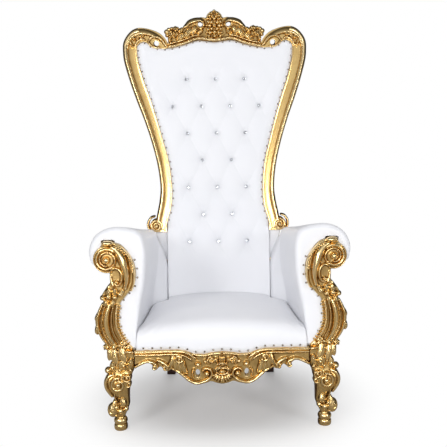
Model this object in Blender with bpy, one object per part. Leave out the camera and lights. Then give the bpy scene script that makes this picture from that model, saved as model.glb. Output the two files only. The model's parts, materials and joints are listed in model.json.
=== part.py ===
"""Tall throne: a gilded carved frame with white buttoned upholstery.

Units are metres, +Z is up, +X is the viewer's right and the throne faces -Y.
Carved outlines are drawn in millimetres on a flat drawing sheet and are scaled
from there to the named sizes below. Each body is a pair (vertices, faces).
"""
import math

import bmesh
import bpy
import numpy as np
from mathutils.geometry import delaunay_2d_cdt

# Driving sizes
RAIL_TOP = 0.340
LEG_X = 0.396
FRONT_Y = -0.390
SEAT_DEPTH = 0.578
POST_HEIGHT = 0.435
POST_DEPTH = 0.068
ARM_REAR_RISE = 0.372
BACK_HEIGHT = 1.064
BACK_HALF_WIDTH = 0.442
BACK_SLOPE = 0.147
BACK_DEPTH = 0.066
APRON_DEPTH = 0.042
SIDE_RAIL_HEIGHT = 0.074
SIDE_RAIL_WIDTH = 0.032
SIDE_RAIL_REACH = 0.040
SIDE_RAIL_WAVE = (0.016, 0.010)
BACK_RAIL_HEIGHT = 0.070
BACK_RAIL_DEPTH = 0.036
REAR_LEG_WIDTH = 0.052
REAR_LEG_SPLAY = 0.062
REAR_LEG_SET = 0.027
FRAME_FOOT_WIDTH = 0.050
FRAME_FOOT_SET = 0.006
FOOT_RADIUS = 0.027
SEAT_CROWN = 0.034
SEAT_SIDE_RISE = 0.078
SEAT_LIP_DEPTH = 0.0325
SEAT_LIP_SET = 0.0075
SEAT_EDGE_ROUND = 0.006
PAD_EDGE = 0.007
PAD_DIMPLE = 0.008
PAD_CROWN = 0.022
PAD_BACK = 0.010
PAD_SHOULDER = 0.050
NET_MARGIN = 0.018
PANEL_THICKNESS = 0.022
PANEL_BEVEL = 0.006
BUTTON_RADIUS = 0.0085
BUTTON_HEIGHT = 0.0055
BUTTON_PITCH_X = 0.139
BUTTON_PITCH_Z = 0.1288
TOP_BUTTON_DROP = 0.332
BUTTON_ROWS = 7
# Share of the pad's crown where the cloth runs on plain past the buttons
PLAIN_CROWN = 0.8

# Fits between neighbours
TOUCH = 0.0003
CLOTH_GAP = 0.0012
POCKET_GAP = 0.0012
FRAME_GAP = 0.0015
ARM_CLEARANCE = 0.002
# How far a cut runs past the piece that it cuts
CUT_REACH = 0.2

# Share of the half width and of the height where a moulding's side turns over
MOULDING_SHOULDER = (0.72, 0.62)
# Largest turn between faces that are joined into one, in degrees
FLAT_TURN = 2.5

# Sizes of the drawing sheets, in millimetres
DRAWN_RAIL_TOP = 340.0
DRAWN_LEG_X = 396.0
DRAWN_POST = 435.0
DRAWN_APRON = 346.0
DRAWN_BACK_FOOT = 714.0
DRAWN_BACK = 1064.0
DRAWN_BACK_HALF = 442.0

# Values worked out from the driving sizes
LEG_SCALE = RAIL_TOP / DRAWN_RAIL_TOP
POST_SCALE = POST_HEIGHT / DRAWN_POST
LEG_INNER = LEG_X - 47.0 * LEG_SCALE
APRON_HALF = LEG_INNER - TOUCH
BACK_Y = FRONT_Y + SEAT_DEPTH
BACK_FOOT = RAIL_TOP + ARM_REAR_RISE + ARM_CLEARANCE
BACK_X_SCALE = BACK_HALF_WIDTH / DRAWN_BACK_HALF
BACK_Z_SCALE = BACK_HEIGHT / DRAWN_BACK
PAD_FOOT_HALF = 244.0 * BACK_X_SCALE
TOP_BUTTON_Z = BACK_FOOT + BACK_HEIGHT - TOP_BUTTON_DROP
CLOTH_FOOT = RAIL_TOP + TOUCH


class Sheet:
    """A drawing plane: a runs right, b is the height and d comes level out of its face."""

    def __init__(self, y, foot, slope):
        self.y = y
        self.foot = foot
        self.slope = slope

    def place(self, a, b, d):
        """Point at (a, b) on the sheet, brought towards the viewer by d."""
        return (a, self.y + self.slope * (b - self.foot) - d, b)


FRONT = Sheet(FRONT_Y, 0.0, 0.0)
BACK = Sheet(BACK_Y, RAIL_TOP, BACK_SLOPE)


def leg_points(points):
    """Leg and apron drawings: millimetres from the leg's own line and from the floor."""
    return [(LEG_X + (x - DRAWN_LEG_X) * LEG_SCALE, z * LEG_SCALE) for x, z in points]


def post_points(points):
    """Arm post drawings: they stand on the rail top, over the leg's line."""
    return [
        (
            LEG_X + (x - DRAWN_LEG_X) * POST_SCALE,
            RAIL_TOP + (z - DRAWN_RAIL_TOP) * POST_SCALE,
        )
        for x, z in points
    ]


def apron_points(points):
    """Apron drawings: stretched between the two front legs."""
    return [(x * APRON_HALF / DRAWN_APRON, z * LEG_SCALE) for x, z in points]


def back_points(points):
    """Back frame drawings: they start at the arm's rear top."""
    return [
        (x * BACK_X_SCALE, BACK_FOOT + (z - DRAWN_BACK_FOOT) * BACK_Z_SCALE)
        for x, z in points
    ]


def mirrored(points):
    """The same points on the other side of the middle, in reverse order."""
    return [(-x, z) for x, z in reversed(points)]


def arc(centre, radius, start, end, steps):
    """Points of a circular arc, angles in degrees."""
    angles = np.radians(np.linspace(start, end, steps + 1))
    return [
        (centre[0] + radius * math.cos(t), centre[1] + radius * math.sin(t))
        for t in angles
    ]


def spiral(centre, radius, inner, start, turn, steps):
    """Points of a scroll that winds in from radius to inner over turn degrees."""
    points = []
    for i in range(steps + 1):
        share = i / steps
        angle = math.radians(start + turn * share)
        r = radius + (inner - radius) * share
        points.append((centre[0] + r * math.cos(angle), centre[1] + r * math.sin(angle)))
    return points


def curve(points, per_span):
    """Smooth Catmull-Rom curve through points, with per_span pieces for each span."""
    p = np.array([points[0]] + list(points) + [points[-1]], dtype=float)
    out = []
    for i in range(1, len(p) - 2):
        for k in range(per_span):
            t = k / per_span
            a = 2 * p[i]
            b = p[i + 1] - p[i - 1]
            c = 2 * p[i - 1] - 5 * p[i] + 4 * p[i + 1] - p[i + 2]
            e = 3 * (p[i] - p[i + 1]) + p[i + 2] - p[i - 1]
            out.append(tuple(0.5 * (a + b * t + c * t * t + e * t ** 3)))
    out.append(tuple(p[-2]))
    return out


def grow(outline, by):
    """A closed outline moved outwards by a distance, corner by corner."""
    p = np.array(outline)
    area = np.sum(p[:, 0] * np.roll(p[:, 1], -1) - np.roll(p[:, 0], -1) * p[:, 1])
    side = 1.0 if area > 0 else -1.0
    before = p - np.roll(p, 1, axis=0)
    after = np.roll(p, -1, axis=0) - p
    before /= np.linalg.norm(before, axis=1)[:, None]
    after /= np.linalg.norm(after, axis=1)[:, None]
    normal = np.stack([before[:, 1] + after[:, 1], -before[:, 0] - after[:, 0]], 1)
    length = np.maximum(np.linalg.norm(normal, axis=1), 0.8)
    return [tuple(q) for q in p + side * by * 2 * normal / length[:, None] ** 2]


def loft(rings):
    """Closed body through rings with equal numbers of points, capped at both ends."""
    count = len(rings[0])
    verts = [point for ring in rings for point in ring]
    faces = []
    for r in range(len(rings) - 1):
        for i in range(count):
            j = (i + 1) % count
            faces.append((r * count + i, r * count + j, (r + 1) * count + j, (r + 1) * count + i))
    faces.append(tuple(range(count)))
    last = (len(rings) - 1) * count
    faces.append(tuple(last + i for i in reversed(range(count))))
    return verts, faces


def prism(sheet, outline, low, high):
    """A flat outline given thickness from low to high out of the sheet."""
    return loft([[sheet.place(a, b, d) for a, b in outline] for d in (low, high)])


def ribbon(sheet, path, widths, height, sink, top=0.0):
    """A rounded moulding that runs along a path on the sheet.

    widths are half widths along the path, height is its crown over top and sink is
    how far its foot goes below top.
    """
    p = np.array(path)
    along = np.gradient(p, axis=0)
    along /= np.linalg.norm(along, axis=1)[:, None]
    side = np.stack([-along[:, 1], along[:, 0]], 1)
    share = np.linspace(0, 1, len(p))
    half = np.interp(share, np.linspace(0, 1, len(widths)), widths)
    low = MOULDING_SHOULDER[1] * height
    wide = MOULDING_SHOULDER[0]
    section = ((-1.0, -sink), (-wide, low), (0.0, height), (wide, low), (1.0, -sink))
    rings = []
    for centre, across, w in zip(p, side, half):
        ring = []
        for u, d in section:
            a, b = centre + across * u * w
            ring.append(sheet.place(a, b, top + d))
        rings.append(ring)
    return loft(rings)


def bead(sheet, centre, radius, height, sink, top=0.0, sides=6, flat=1.0):
    """A rounded boss: a low dome with its foot sunk below top."""
    rings = []
    for share, d in ((1.0, -sink), (0.82, MOULDING_SHOULDER[1] * height)):
        ring = []
        for i in range(sides):
            t = 2 * math.pi * (i + 0.5) / sides
            a = centre[0] + radius * share * math.cos(t)
            b = centre[1] + radius * share * flat * math.sin(t)
            ring.append(sheet.place(a, b, top + d))
        rings.append(ring)
    verts = rings[0] + rings[1] + [sheet.place(centre[0], centre[1], top + height)]
    faces = [tuple(reversed(range(sides)))]
    for i in range(sides):
        j = (i + 1) % sides
        faces.append((i, j, sides + j, sides + i))
        faces.append((sides + i, sides + j, 2 * sides))
    return verts, faces


def leaf(sheet, foot, tip, half_width, height, sink, top=0.0):
    """A pointed leaf with a raised middle rib, from its foot to its tip."""
    f = np.array(foot)
    t = np.array(tip)
    along = t - f
    side = np.array([-along[1], along[0]]) / np.linalg.norm(along)
    rim = [f, f + 0.45 * along + side * half_width, t, f + 0.45 * along - side * half_width]
    ridge = f + 0.4 * along
    verts = [sheet.place(a, b, top - sink) for a, b in rim]
    verts += [sheet.place(a, b, top + 0.25 * height) for a, b in rim]
    verts.append(sheet.place(ridge[0], ridge[1], top + height))
    faces = [(3, 2, 1, 0)]
    for i in range(4):
        j = (i + 1) % 4
        faces.append((i, j, 4 + j, 4 + i))
        faces.append((4 + i, 4 + j, 8))
    return verts, faces


def material(name, colour, roughness, metallic):
    """A plain Principled material."""
    mat = bpy.data.materials.new(name)
    mat.use_nodes = True
    shader = mat.node_tree.nodes["Principled BSDF"]
    shader.inputs["Base Color"].default_value = (*colour, 1.0)
    shader.inputs["Roughness"].default_value = roughness
    shader.inputs["Metallic"].default_value = metallic
    mat.diffuse_color = (*colour, 1.0)
    return mat


def solid(name, body, mat=None):
    """One object from a body, with its faces turned outwards."""
    verts, faces = body
    mesh = bpy.data.meshes.new(name)
    mesh.from_pydata([tuple(map(float, v)) for v in verts], [], faces)
    work = bmesh.new()
    work.from_mesh(mesh)
    bmesh.ops.recalc_face_normals(work, faces=work.faces)
    work.to_mesh(mesh)
    work.free()
    if mat:
        mesh.materials.append(mat)
    obj = bpy.data.objects.new(name, mesh)
    bpy.context.scene.collection.objects.link(obj)
    return obj


def fuse(name, bodies, mat, cuts=(), solver="EXACT"):
    """Union of bodies less the cuts, as one closed mesh."""
    base = solid(name + "_work", bodies[0])
    helpers = []
    for operation, group in (("UNION", bodies[1:]), ("DIFFERENCE", cuts)):
        for body in group:
            helper = solid(name + "_help", body)
            helpers.append(helper)
            step = base.modifiers.new("join", "BOOLEAN")
            step.operation = operation
            step.solver = solver
            step.object = helper
    graph = bpy.context.evaluated_depsgraph_get()
    mesh = bpy.data.meshes.new_from_object(base.evaluated_get(graph))
    for obj in helpers + [base]:
        bpy.data.objects.remove(obj)
    work = bmesh.new()
    work.from_mesh(mesh)
    bmesh.ops.remove_doubles(work, verts=work.verts, dist=0.000002)
    bmesh.ops.dissolve_limit(
        work, angle_limit=math.radians(FLAT_TURN), verts=work.verts, edges=work.edges
    )
    bmesh.ops.triangulate(work, faces=work.faces)
    work.to_mesh(mesh)
    work.free()
    mesh.name = name
    mesh.materials.clear()
    mesh.materials.append(mat)
    obj = bpy.data.objects.new(name, mesh)
    bpy.context.scene.collection.objects.link(obj)
    return obj


def mirror_copy(obj, name):
    """The same piece for the other side of the throne."""
    mesh = obj.data.copy()
    work = bmesh.new()
    work.from_mesh(mesh)
    for vert in work.verts:
        vert.co.x = -vert.co.x
    bmesh.ops.reverse_faces(work, faces=work.faces)
    work.to_mesh(mesh)
    work.free()
    copy = bpy.data.objects.new(name, mesh)
    bpy.context.scene.collection.objects.link(copy)
    return copy


def both_sides(bodies):
    """Bodies together with their mirror images."""
    out = list(bodies)
    for verts, faces in bodies:
        out.append(([(-x, y, z) for x, y, z in verts], faces))
    return out


# Front legs

# Height, inner edge, outer edge, front edge and rear edge of the leg, in millimetres
# of the drawing; front and rear are measured back from the carved face.
LEG_STATIONS = (
    (340, 349, 440, 0, 85),
    (300, 349, 437, 1, 85),
    (262, 351, 450, -6, 84),
    (243, 360, 452, -10, 82),
    (217, 366, 463, -20, 78),
    (190, 371, 461, -18, 72),
    (160, 374, 448, -6, 66),
    (133, 375, 435, 6, 62),
    (108, 376, 444, 8, 62),
    (84, 386, 448, 6, 62),
    (60, 396, 437, 18, 60),
)
FOOT_CENTRE = (416.0, 41.0)
# Height and share of the foot's radius
FOOT_PROFILE = ((0, 0.86), (7, 1.0), (26, 1.0), (31, 0.84), (37, 1.0), (54, 1.02), (70, 0.72))


def leg_ring(z, inner, outer, front, rear):
    """Cabriole section: a square with its corners taken off."""
    x0, x1 = (LEG_X + (v - DRAWN_LEG_X) * LEG_SCALE for v in (inner, outer))
    y0, y1 = (FRONT_Y + v * LEG_SCALE for v in (front, rear))
    cut = 0.24 * min(x1 - x0, y1 - y0)
    corners = [
        (x0 + cut, y0), (x1 - cut, y0), (x1, y0 + cut), (x1, y1 - cut),
        (x1 - cut, y1), (x0 + cut, y1), (x0, y1 - cut), (x0, y0 + cut),
    ]
    return [(x, y, z * LEG_SCALE) for x, y in corners]


def foot_body():
    """Turned pad under the leg, with one groove."""
    x = LEG_X + (FOOT_CENTRE[0] - DRAWN_LEG_X) * LEG_SCALE
    y = FRONT_Y + FOOT_CENTRE[1] * LEG_SCALE
    sides = 10
    rings = []
    for z, share in FOOT_PROFILE:
        r = FOOT_RADIUS * share
        turn = [2 * math.pi * i / sides for i in range(sides)]
        rings.append([(x + r * math.cos(t), y + r * math.sin(t), z * LEG_SCALE) for t in turn])
    return loft(rings)


def build_front_leg(gold):
    """Right front leg: cabriole, knee scroll, leaf ears, scrolled toe and turned pad."""
    mm = LEG_SCALE
    knee, small = leg_points([(414, 207), (376, 236)])
    path = spiral(knee, 34 * mm, 16 * mm, 130, -400, 12)
    bodies = [
        loft([leg_ring(*row) for row in LEG_STATIONS]),
        foot_body(),
        ribbon(FRONT, path, (7 * mm, 7 * mm, 4 * mm), 10 * mm, 22 * mm, 16 * mm),
        bead(FRONT, knee, 11 * mm, 17 * mm, 22 * mm, 14 * mm),
        bead(FRONT, small, 15 * mm, 14 * mm, 20 * mm, 8 * mm, sides=7),
    ]
    ears = (((436, 290), (468, 268)), ((440, 262), (466, 250)), ((356, 262), (347, 236)))
    for foot, tip in ears:
        a, b = leg_points([foot, tip])
        bodies.append(leaf(FRONT, a, b, 13 * mm, 10 * mm, 30 * mm, 3 * mm))
    sprays = (
        ((388, 250), (368, 322), 13), ((396, 250), (400, 331), 14),
        ((405, 250), (429, 318), 13), ((384, 256), (357, 292), 10),
    )
    for foot, tip, half in sprays:
        a, b = leg_points([foot, tip])
        bodies.append(leaf(FRONT, a, b, half * mm, 13 * mm, 16 * mm))
    toes = (((443, 97), 17, 12, 30), ((420, 91), 12, 10, 32), ((427, 118), 14, 6, 34))
    for centre, radius, out, sink in toes:
        at = leg_points([centre])[0]
        bodies.append(bead(FRONT, at, radius * mm, out * mm, sink * mm, -6 * mm, sides=7))
    return fuse("front_leg_right", bodies, gold)


# Arm posts

POST_INNER = (
    (411, 773), (387, 764), (362, 736), (342, 703), (333, 666), (334, 627), (346, 593),
    (362, 575), (380, 553), (396, 534), (403, 500), (405, 460), (400, 428), (389, 400),
    (373, 372), (352, 350),
)
POST_OUTER = (
    (440, 341), (468, 350), (462, 380), (483, 409), (495, 439), (497, 465), (490, 482),
    (474, 514), (456, 540), (470, 559), (450, 594), (434, 613), (433, 655),
)
VOLUTE = (442.0, 708.0)
VOLUTE_RADIUS = 53.0
POST_CAP = ((462, 764), (463, 779), (457, 783), (418, 783), (411, 779))


def post_outline():
    """Outline of the S-shaped post, from its foot round the scroll and back."""
    scroll = arc(VOLUTE, VOLUTE_RADIUS, -85, 62, 9)
    points = list(POST_OUTER) + scroll + list(POST_CAP) + list(POST_INNER) + [(351, 341)]
    outline = post_points(points)
    floor = RAIL_TOP + TOUCH
    return [(a, max(b, floor)) for a, b in outline]


def pocket_outline():
    """Room for the post in the front of the arm, open to the outside below the scroll."""
    scroll = arc(VOLUTE, VOLUTE_RADIUS, -22, 62, 5)
    beyond = [(620, 330), (620, 640)]
    points = beyond + scroll + list(POST_CAP) + list(POST_INNER) + [(351, 330)]
    return grow(post_points(points), POCKET_GAP)


def build_arm_post(gold):
    """Right arm post: scroll, two C curves with mouldings, leaf collar and beads."""
    mm = POST_SCALE
    face = -4 * mm
    bodies = [prism(FRONT, post_outline(), -POST_DEPTH, face)]

    def run(points, per_span, widths, height):
        path = curve(post_points(points), per_span)
        half = [w * mm for w in widths]
        bodies.append(ribbon(FRONT, path, half, height * mm, 12 * mm, face))

    def boss(x, z, radius, height, sides=6, flat=1.0):
        centre = post_points([(x, z)])[0]
        bodies.append(bead(FRONT, centre, radius * mm, height * mm, 12 * mm, face, sides, flat))

    def blade(foot, tip, half, height):
        a, b = post_points([foot, tip])
        bodies.append(leaf(FRONT, a, b, half * mm, height * mm, 14 * mm, face))

    centre = post_points([VOLUTE])[0]
    path = spiral(centre, 46 * mm, 20 * mm, 200, 480, 15)
    bodies.append(ribbon(FRONT, path, [7 * mm, 7 * mm, 5 * mm], 13 * mm, 11 * mm, face))
    bodies.append(bead(FRONT, centre, 13 * mm, 22 * mm, 13 * mm, face, 7))
    run(((428, 758), (398, 736), (376, 700), (366, 655), (366, 615), (380, 580)), 2, (8, 15, 19, 17, 8), 20)
    run(((410, 764), (376, 740), (352, 706), (342, 666), (343, 627), (356, 592)), 1, (6, 6, 6), 9)
    run(((425, 638), (405, 636), (396, 612), (404, 592), (420, 600)), 1, (5, 7, 5), 12)
    run(((437, 532), (452, 480), (452, 440), (438, 404), (410, 366)), 1, (13, 14, 14, 10), 15)
    run(((408, 526), (417, 480), (417, 445), (405, 410), (384, 378)), 1, (6, 7, 6), 11)
    roll = post_points([(413, 766), (461, 766), (461, 777), (456, 781), (418, 781), (413, 777)])
    bodies.append(prism(FRONT, roll, -20 * mm, 6 * mm))
    for x, z, r in ((462, 558, 13), (440, 562, 13), (417, 556, 12), (396, 566, 12)):
        boss(x, z, r, 17)
    blade((478, 500), (499, 470), 11, 12)
    blade((480, 440), (492, 412), 10, 12)
    blade((462, 405), (470, 360), 12, 12)
    boss(396, 362, 15, 20, 7)
    boss(424, 356, 11, 15)
    boss(450, 354, 12, 13)
    return fuse("arm_post_right", bodies, gold)


# Front rail with its carved apron

APRON_TOP = ((346, 340), (285, 340), (171, 340), (140, 333), (110, 322), (73, 320), (36, 327), (0, 330))
APRON_BOTTOM = (
    (20, 196), (45, 204), (64, 198), (91, 193), (112, 198), (130, 207), (152, 224),
    (174, 245), (198, 258), (214, 252), (230, 256), (243, 270), (256, 263), (268, 265),
    (280, 279), (298, 287), (322, 278), (346, 262),
)
APRON_HOLE = (100.0, 239.0)


def build_apron(gold):
    """Carved front rail: shell and eye in the middle, C scrolls, leaves and mouldings."""
    mm = LEG_SCALE
    top = apron_points(APRON_TOP)
    bottom = apron_points(APRON_BOTTOM)
    centre = apron_points([(0, 193)])
    outline = top + mirrored(top)[1:] + mirrored(bottom) + centre + bottom
    face = -4 * mm
    sink = 12 * mm
    sides = []

    def run(points, per_span, widths, height):
        path = curve(apron_points(points), per_span)
        half = [w * mm for w in widths]
        sides.append(ribbon(FRONT, path, half, height * mm, sink, face))

    def boss(x, z, radius, height):
        at = apron_points([(x, z)])[0]
        sides.append(bead(FRONT, at, radius * mm, height * mm, sink, face))

    def blade(foot, tip, half, height):
        a, b = apron_points([foot, tip])
        sides.append(leaf(FRONT, a, b, half * mm, height * mm, sink, face))

    run(((342, 331), (260, 331), (171, 331), (138, 323), (106, 304)), 1, (6, 6, 6, 5), 9)
    run(((341, 272), (298, 295), (274, 284), (266, 272)), 1, (5, 6, 6), 9)
    run(((196, 276), (170, 254), (131, 218), (91, 203), (60, 211), (47, 232), (56, 254), (74, 250)),
        1, (7, 8, 8, 7, 6, 5, 4), 12)
    boss(66, 235, 8, 13)
    boss(40, 290, 9, 13)
    for foot, tip, half in (
        ((178, 320), (206, 274), 10), ((166, 317), (177, 262), 10), ((154, 312), (144, 262), 10),
        ((236, 302), (222, 259), 9), ((262, 302), (252, 269), 8), ((121, 290), (114, 264), 7),
    ):
        blade(foot, tip, half, 12)
    for foot, tip in (((11, 236), (21, 200)), ((19, 240), (38, 211)), ((10, 270), (27, 305))):
        blade(foot, tip, 7, 12)
    hole = apron_points([APRON_HOLE])[0]
    turn = np.linspace(0, 2 * math.pi, 9)[:-1]
    ring = [(hole[0] + 9 * mm * math.cos(t), hole[1] + 17 * mm * math.sin(t)) for t in turn]
    cut = prism(FRONT, ring, -CUT_REACH, CUT_REACH)
    bodies = [prism(FRONT, outline, -APRON_DEPTH, face)]
    bodies += both_sides(sides)
    eye, ray, tip, crown, peak = apron_points([(0, 247), (0, 238), (0, 195), (0, 270), (0, 313)])
    bodies.append(bead(FRONT, eye, 18 * mm, 18 * mm, sink, face, 8, 0.62))
    bodies.append(leaf(FRONT, ray, tip, 8 * mm, 12 * mm, sink, face))
    bodies.append(leaf(FRONT, crown, peak, 8 * mm, 12 * mm, sink, face))
    return fuse("seat_rail_front", bodies, gold, both_sides([cut]))


# Plain rails and rear legs

def rear_leg_y():
    """Middle of the rear leg at the rail: behind the pad, under the back panel."""
    return BACK_Y + REAR_LEG_SET


def rear_leg_x():
    """Distance of the rear leg's middle from the middle of the throne."""
    return PAD_FOOT_HALF + FRAME_GAP


def build_side_rail(gold):
    """Right side rail: runs from the front leg to the outside of the rear leg."""
    front_y = FRONT_Y + LEG_STATIONS[0][4] * LEG_SCALE + TOUCH
    rear_y = rear_leg_y() + REAR_LEG_WIDTH / 2
    front_out = LEG_X + SIDE_RAIL_REACH
    rear_out = rear_leg_x() + REAR_LEG_WIDTH / 2 + TOUCH + SIDE_RAIL_WIDTH
    low = RAIL_TOP - SIDE_RAIL_HEIGHT
    long_wave, short_wave = SIDE_RAIL_WAVE
    bead_width = SIDE_RAIL_WIDTH / 4
    bead_height = SIDE_RAIL_HEIGHT / 6
    rings = []
    count = 8
    for i in range(count + 1):
        share = i / count
        y = front_y + (rear_y - front_y) * share
        x = front_out + (rear_out - front_out) * share
        turn = 2 * math.pi * share
        foot = low + short_wave - long_wave * math.cos(turn) - short_wave * math.cos(2 * turn)
        rings.append([
            (x - SIDE_RAIL_WIDTH, y, RAIL_TOP), (x - SIDE_RAIL_WIDTH, y, foot),
            (x - 0.8 * bead_width, y, foot), (x - 0.25 * bead_width, y, foot + bead_height),
            (x - bead_width, y, RAIL_TOP - 1.8 * bead_height),
            (x, y, RAIL_TOP - bead_height), (x, y, RAIL_TOP),
        ])
    return solid("seat_rail_right", loft(rings), gold)


def build_back_rail(gold):
    """Plain rail between the rear legs."""
    half = rear_leg_x() - REAR_LEG_WIDTH / 2 - TOUCH
    y = rear_leg_y()
    low = RAIL_TOP - BACK_RAIL_HEIGHT
    rings = []
    for x in (-half, half):
        rings.append([
            (x, y - BACK_RAIL_DEPTH / 2, low), (x, y + BACK_RAIL_DEPTH / 2, low),
            (x, y + BACK_RAIL_DEPTH / 2, RAIL_TOP), (x, y - BACK_RAIL_DEPTH / 2, RAIL_TOP),
        ])
    return solid("seat_rail_back", loft(rings), gold)


def build_rear_leg(wood):
    """Right rear leg: square, tapered and splayed to the rear."""
    centre = rear_leg_x()
    rings = []
    for share, thin in ((0.0, 0.80), (0.5, 0.90), (1.0, 1.0)):
        half = REAR_LEG_WIDTH / 2 * thin
        y = rear_leg_y() + REAR_LEG_SPLAY * (1 - share) ** 1.4
        z = RAIL_TOP * share
        rings.append([
            (centre - half, y - half, z), (centre + half, y - half, z),
            (centre + half, y + half, z), (centre - half, y + half, z),
        ])
    return solid("rear_leg_right", loft(rings), wood)


# Back frame

# Outer edge and inner edge of the frame, in matching pairs
STILE = (
    ((302, 752), (253, 724)), ((292, 806), (241, 781)), ((279, 872), (223, 848)),
    ((274, 939), (219, 938)), ((286, 1040), (231, 1050)), ((311, 1145), (256, 1149)),
    ((344, 1250), (285, 1255)), ((381, 1350), (314, 1351)), ((412, 1443), (344, 1437)),
    ((436, 1530), (368, 1526)), ((442, 1580), (375, 1585)), ((440, 1623), (374, 1607)),
    ((424, 1656), (362, 1621)), ((400, 1682), (342, 1628)), ((371, 1695), (324, 1622)),
    ((337, 1694), (306, 1608)), ((300, 1685), (286, 1599)), ((263, 1668), (258, 1595)),
    ((240, 1646), (240, 1594)), ((226.5, 1626), (226.5, 1595.5)),
)
# Share of the width from the outer to the inner edge, and height in millimetres
STILE_SECTION = ((0.0, 8), (0.09, 24), (0.22, 29), (0.36, 20), (0.44, 13), (0.72, 15), (1.0, 4))
LOWER_SCROLL = (300.0, 750.0)
SHOULDER_HOLE = (278.0, 1618.0)


def build_back_frame(gold):
    """Right side of the back frame: swept moulding, lower scroll and pierced shoulder."""
    mm = BACK_X_SCALE
    rear = -BACK_DEPTH / 2
    rings = []
    for outer, inner in STILE:
        o, i = (np.array(p) for p in back_points([outer, inner]))
        ring = []
        for share, height in STILE_SECTION:
            a, b = o + (i - o) * share
            ring.append(BACK.place(a, b, height * mm))
        ring.append(BACK.place(i[0], i[1], rear))
        ring.append(BACK.place(o[0], o[1], rear))
        rings.append(ring)
    centre = back_points([LOWER_SCROLL])[0]
    disc = arc(centre, 35 * mm, 0, 330, 11)
    path = spiral(centre, 27 * mm, 14 * mm, 60, 390, 13)
    foot = back_points([(0, 760)])[0][1]
    near = PAD_FOOT_HALF + FRAME_GAP
    far = near + FRAME_FOOT_WIDTH
    post = [(near, CLOTH_FOOT), (far, CLOTH_FOOT), (far, foot), (near, foot)]
    shoulder = back_points([(300, 1640), (352, 1668), (318, 1668), (250, 1640)])
    face = 20 * mm
    bodies = [
        loft(rings),
        prism(BACK, disc, rear + 1 * mm, face),
        ribbon(BACK, path, [5 * mm, 5 * mm, 3 * mm], 10 * mm, 8 * mm, face),
        bead(BACK, centre, 9 * mm, 16 * mm, 10 * mm, face),
        prism(BACK, post, rear + 0.5 * mm, -FRAME_FOOT_SET),
        leaf(BACK, shoulder[0], shoulder[1], 9 * mm, 14 * mm, 16 * mm, 16 * mm),
        leaf(BACK, shoulder[3], shoulder[2], 8 * mm, 14 * mm, 16 * mm, 18 * mm),
    ]
    hole = back_points([SHOULDER_HOLE])[0]
    cut = prism(BACK, arc(hole, 11 * mm, 0, 315, 7), -CUT_REACH, CUT_REACH)
    return fuse("back_frame_right", bodies, gold, [cut], "MANIFOLD")


CREST_TOP = (
    (225.8, 1640), (216, 1679), (202, 1699), (185, 1704),
    (172, 1694), (154, 1688), (134, 1706), (120, 1730), (96, 1741), (62, 1745),
    (42, 1742), (36, 1756), (22, 1770),
)
CREST_BOTTOM = ((38, 1627), (74, 1632), (98, 1628), (142, 1612), (194, 1600), (225.8, 1595.5))
CREST_HOLE = (68.0, 1709.0)


def build_crest(gold):
    """Carved middle of the top: palmette finial, C scrolls, flowers and a lower moulding."""
    mm = BACK_X_SCALE
    top = back_points(CREST_TOP)
    bottom = back_points(CREST_BOTTOM)
    peak = back_points([(0, 1778)])
    low = back_points([(0, 1622)])
    outline = top + peak + mirrored(top) + mirrored(bottom) + low + bottom
    face = 14 * mm
    sink = 12 * mm
    sides = []

    def run(points, per_span, widths, height):
        path = curve(back_points(points), per_span)
        half = [w * mm for w in widths]
        sides.append(ribbon(BACK, path, half, height * mm, sink, face))

    def boss(x, z, radius, height):
        at = back_points([(x, z)])[0]
        sides.append(bead(BACK, at, radius * mm, height * mm, sink, face))

    def blade(foot, tip, half, height):
        a, b = back_points([foot, tip])
        sides.append(leaf(BACK, a, b, half * mm, height * mm, sink, face))

    run(((150, 1692), (134, 1700), (118, 1722), (92, 1732), (62, 1734), (46, 1718), (44, 1698)),
        1, (5, 7, 8, 7, 5), 14)
    run(((222, 1606), (194, 1609), (142, 1621), (98, 1637), (60, 1640), (30, 1632)), 1, (6, 7, 6), 11)
    boss(196, 1668, 13, 18)
    boss(214, 1656, 11, 13)
    boss(178, 1682, 11, 13)
    boss(204, 1688, 9, 11)
    boss(16, 1720, 9, 16)
    boss(26, 1695, 10, 15)
    for foot, tip, half in (
        ((182, 1650), (150, 1676), 11), ((150, 1640), (120, 1664), 12), ((128, 1652), (122, 1702), 10),
        ((100, 1650), (92, 1698), 11), ((8, 1738), (29, 1775), 8), ((64, 1650), (40, 1680), 10),
        ((216, 1632), (186, 1640), 9),
    ):
        blade(foot, tip, half, 14)
    hole = back_points([CREST_HOLE])[0]
    cut = prism(BACK, arc(hole, 10 * mm, 0, 315, 7), -CUT_REACH, CUT_REACH)
    bodies = [prism(BACK, outline, -BACK_DEPTH / 2 + 2 * mm, face)]
    bodies += both_sides(sides)
    for z, radius, height in ((1668, 14, 20), (1698, 11, 20), (1643, 11, 15)):
        at = back_points([(0, z)])[0]
        bodies.append(bead(BACK, at, radius * mm, height * mm, sink, face))
    a, b = back_points([(0, 1735), (0, 1777)])
    bodies.append(leaf(BACK, a, b, 9 * mm, 18 * mm, sink, face))
    return fuse("crest_rail", bodies, gold, both_sides([cut]))


# Upholstered back

def opening_outline(gap):
    """Outline of the cloth inside the back frame and down to the rails."""
    right = [(PAD_FOOT_HALF, CLOTH_FOOT)]
    right += back_points([(244, 757)])
    right += back_points([inner for outer, inner in STILE[1:-1]])
    right += back_points([p for p in reversed(CREST_BOTTOM)][1:])
    top = back_points([(0, 1622)])
    outline = right + top + mirrored(right)
    return [(a, max(b, CLOTH_FOOT)) for a, b in grow(outline, -gap)]


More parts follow.
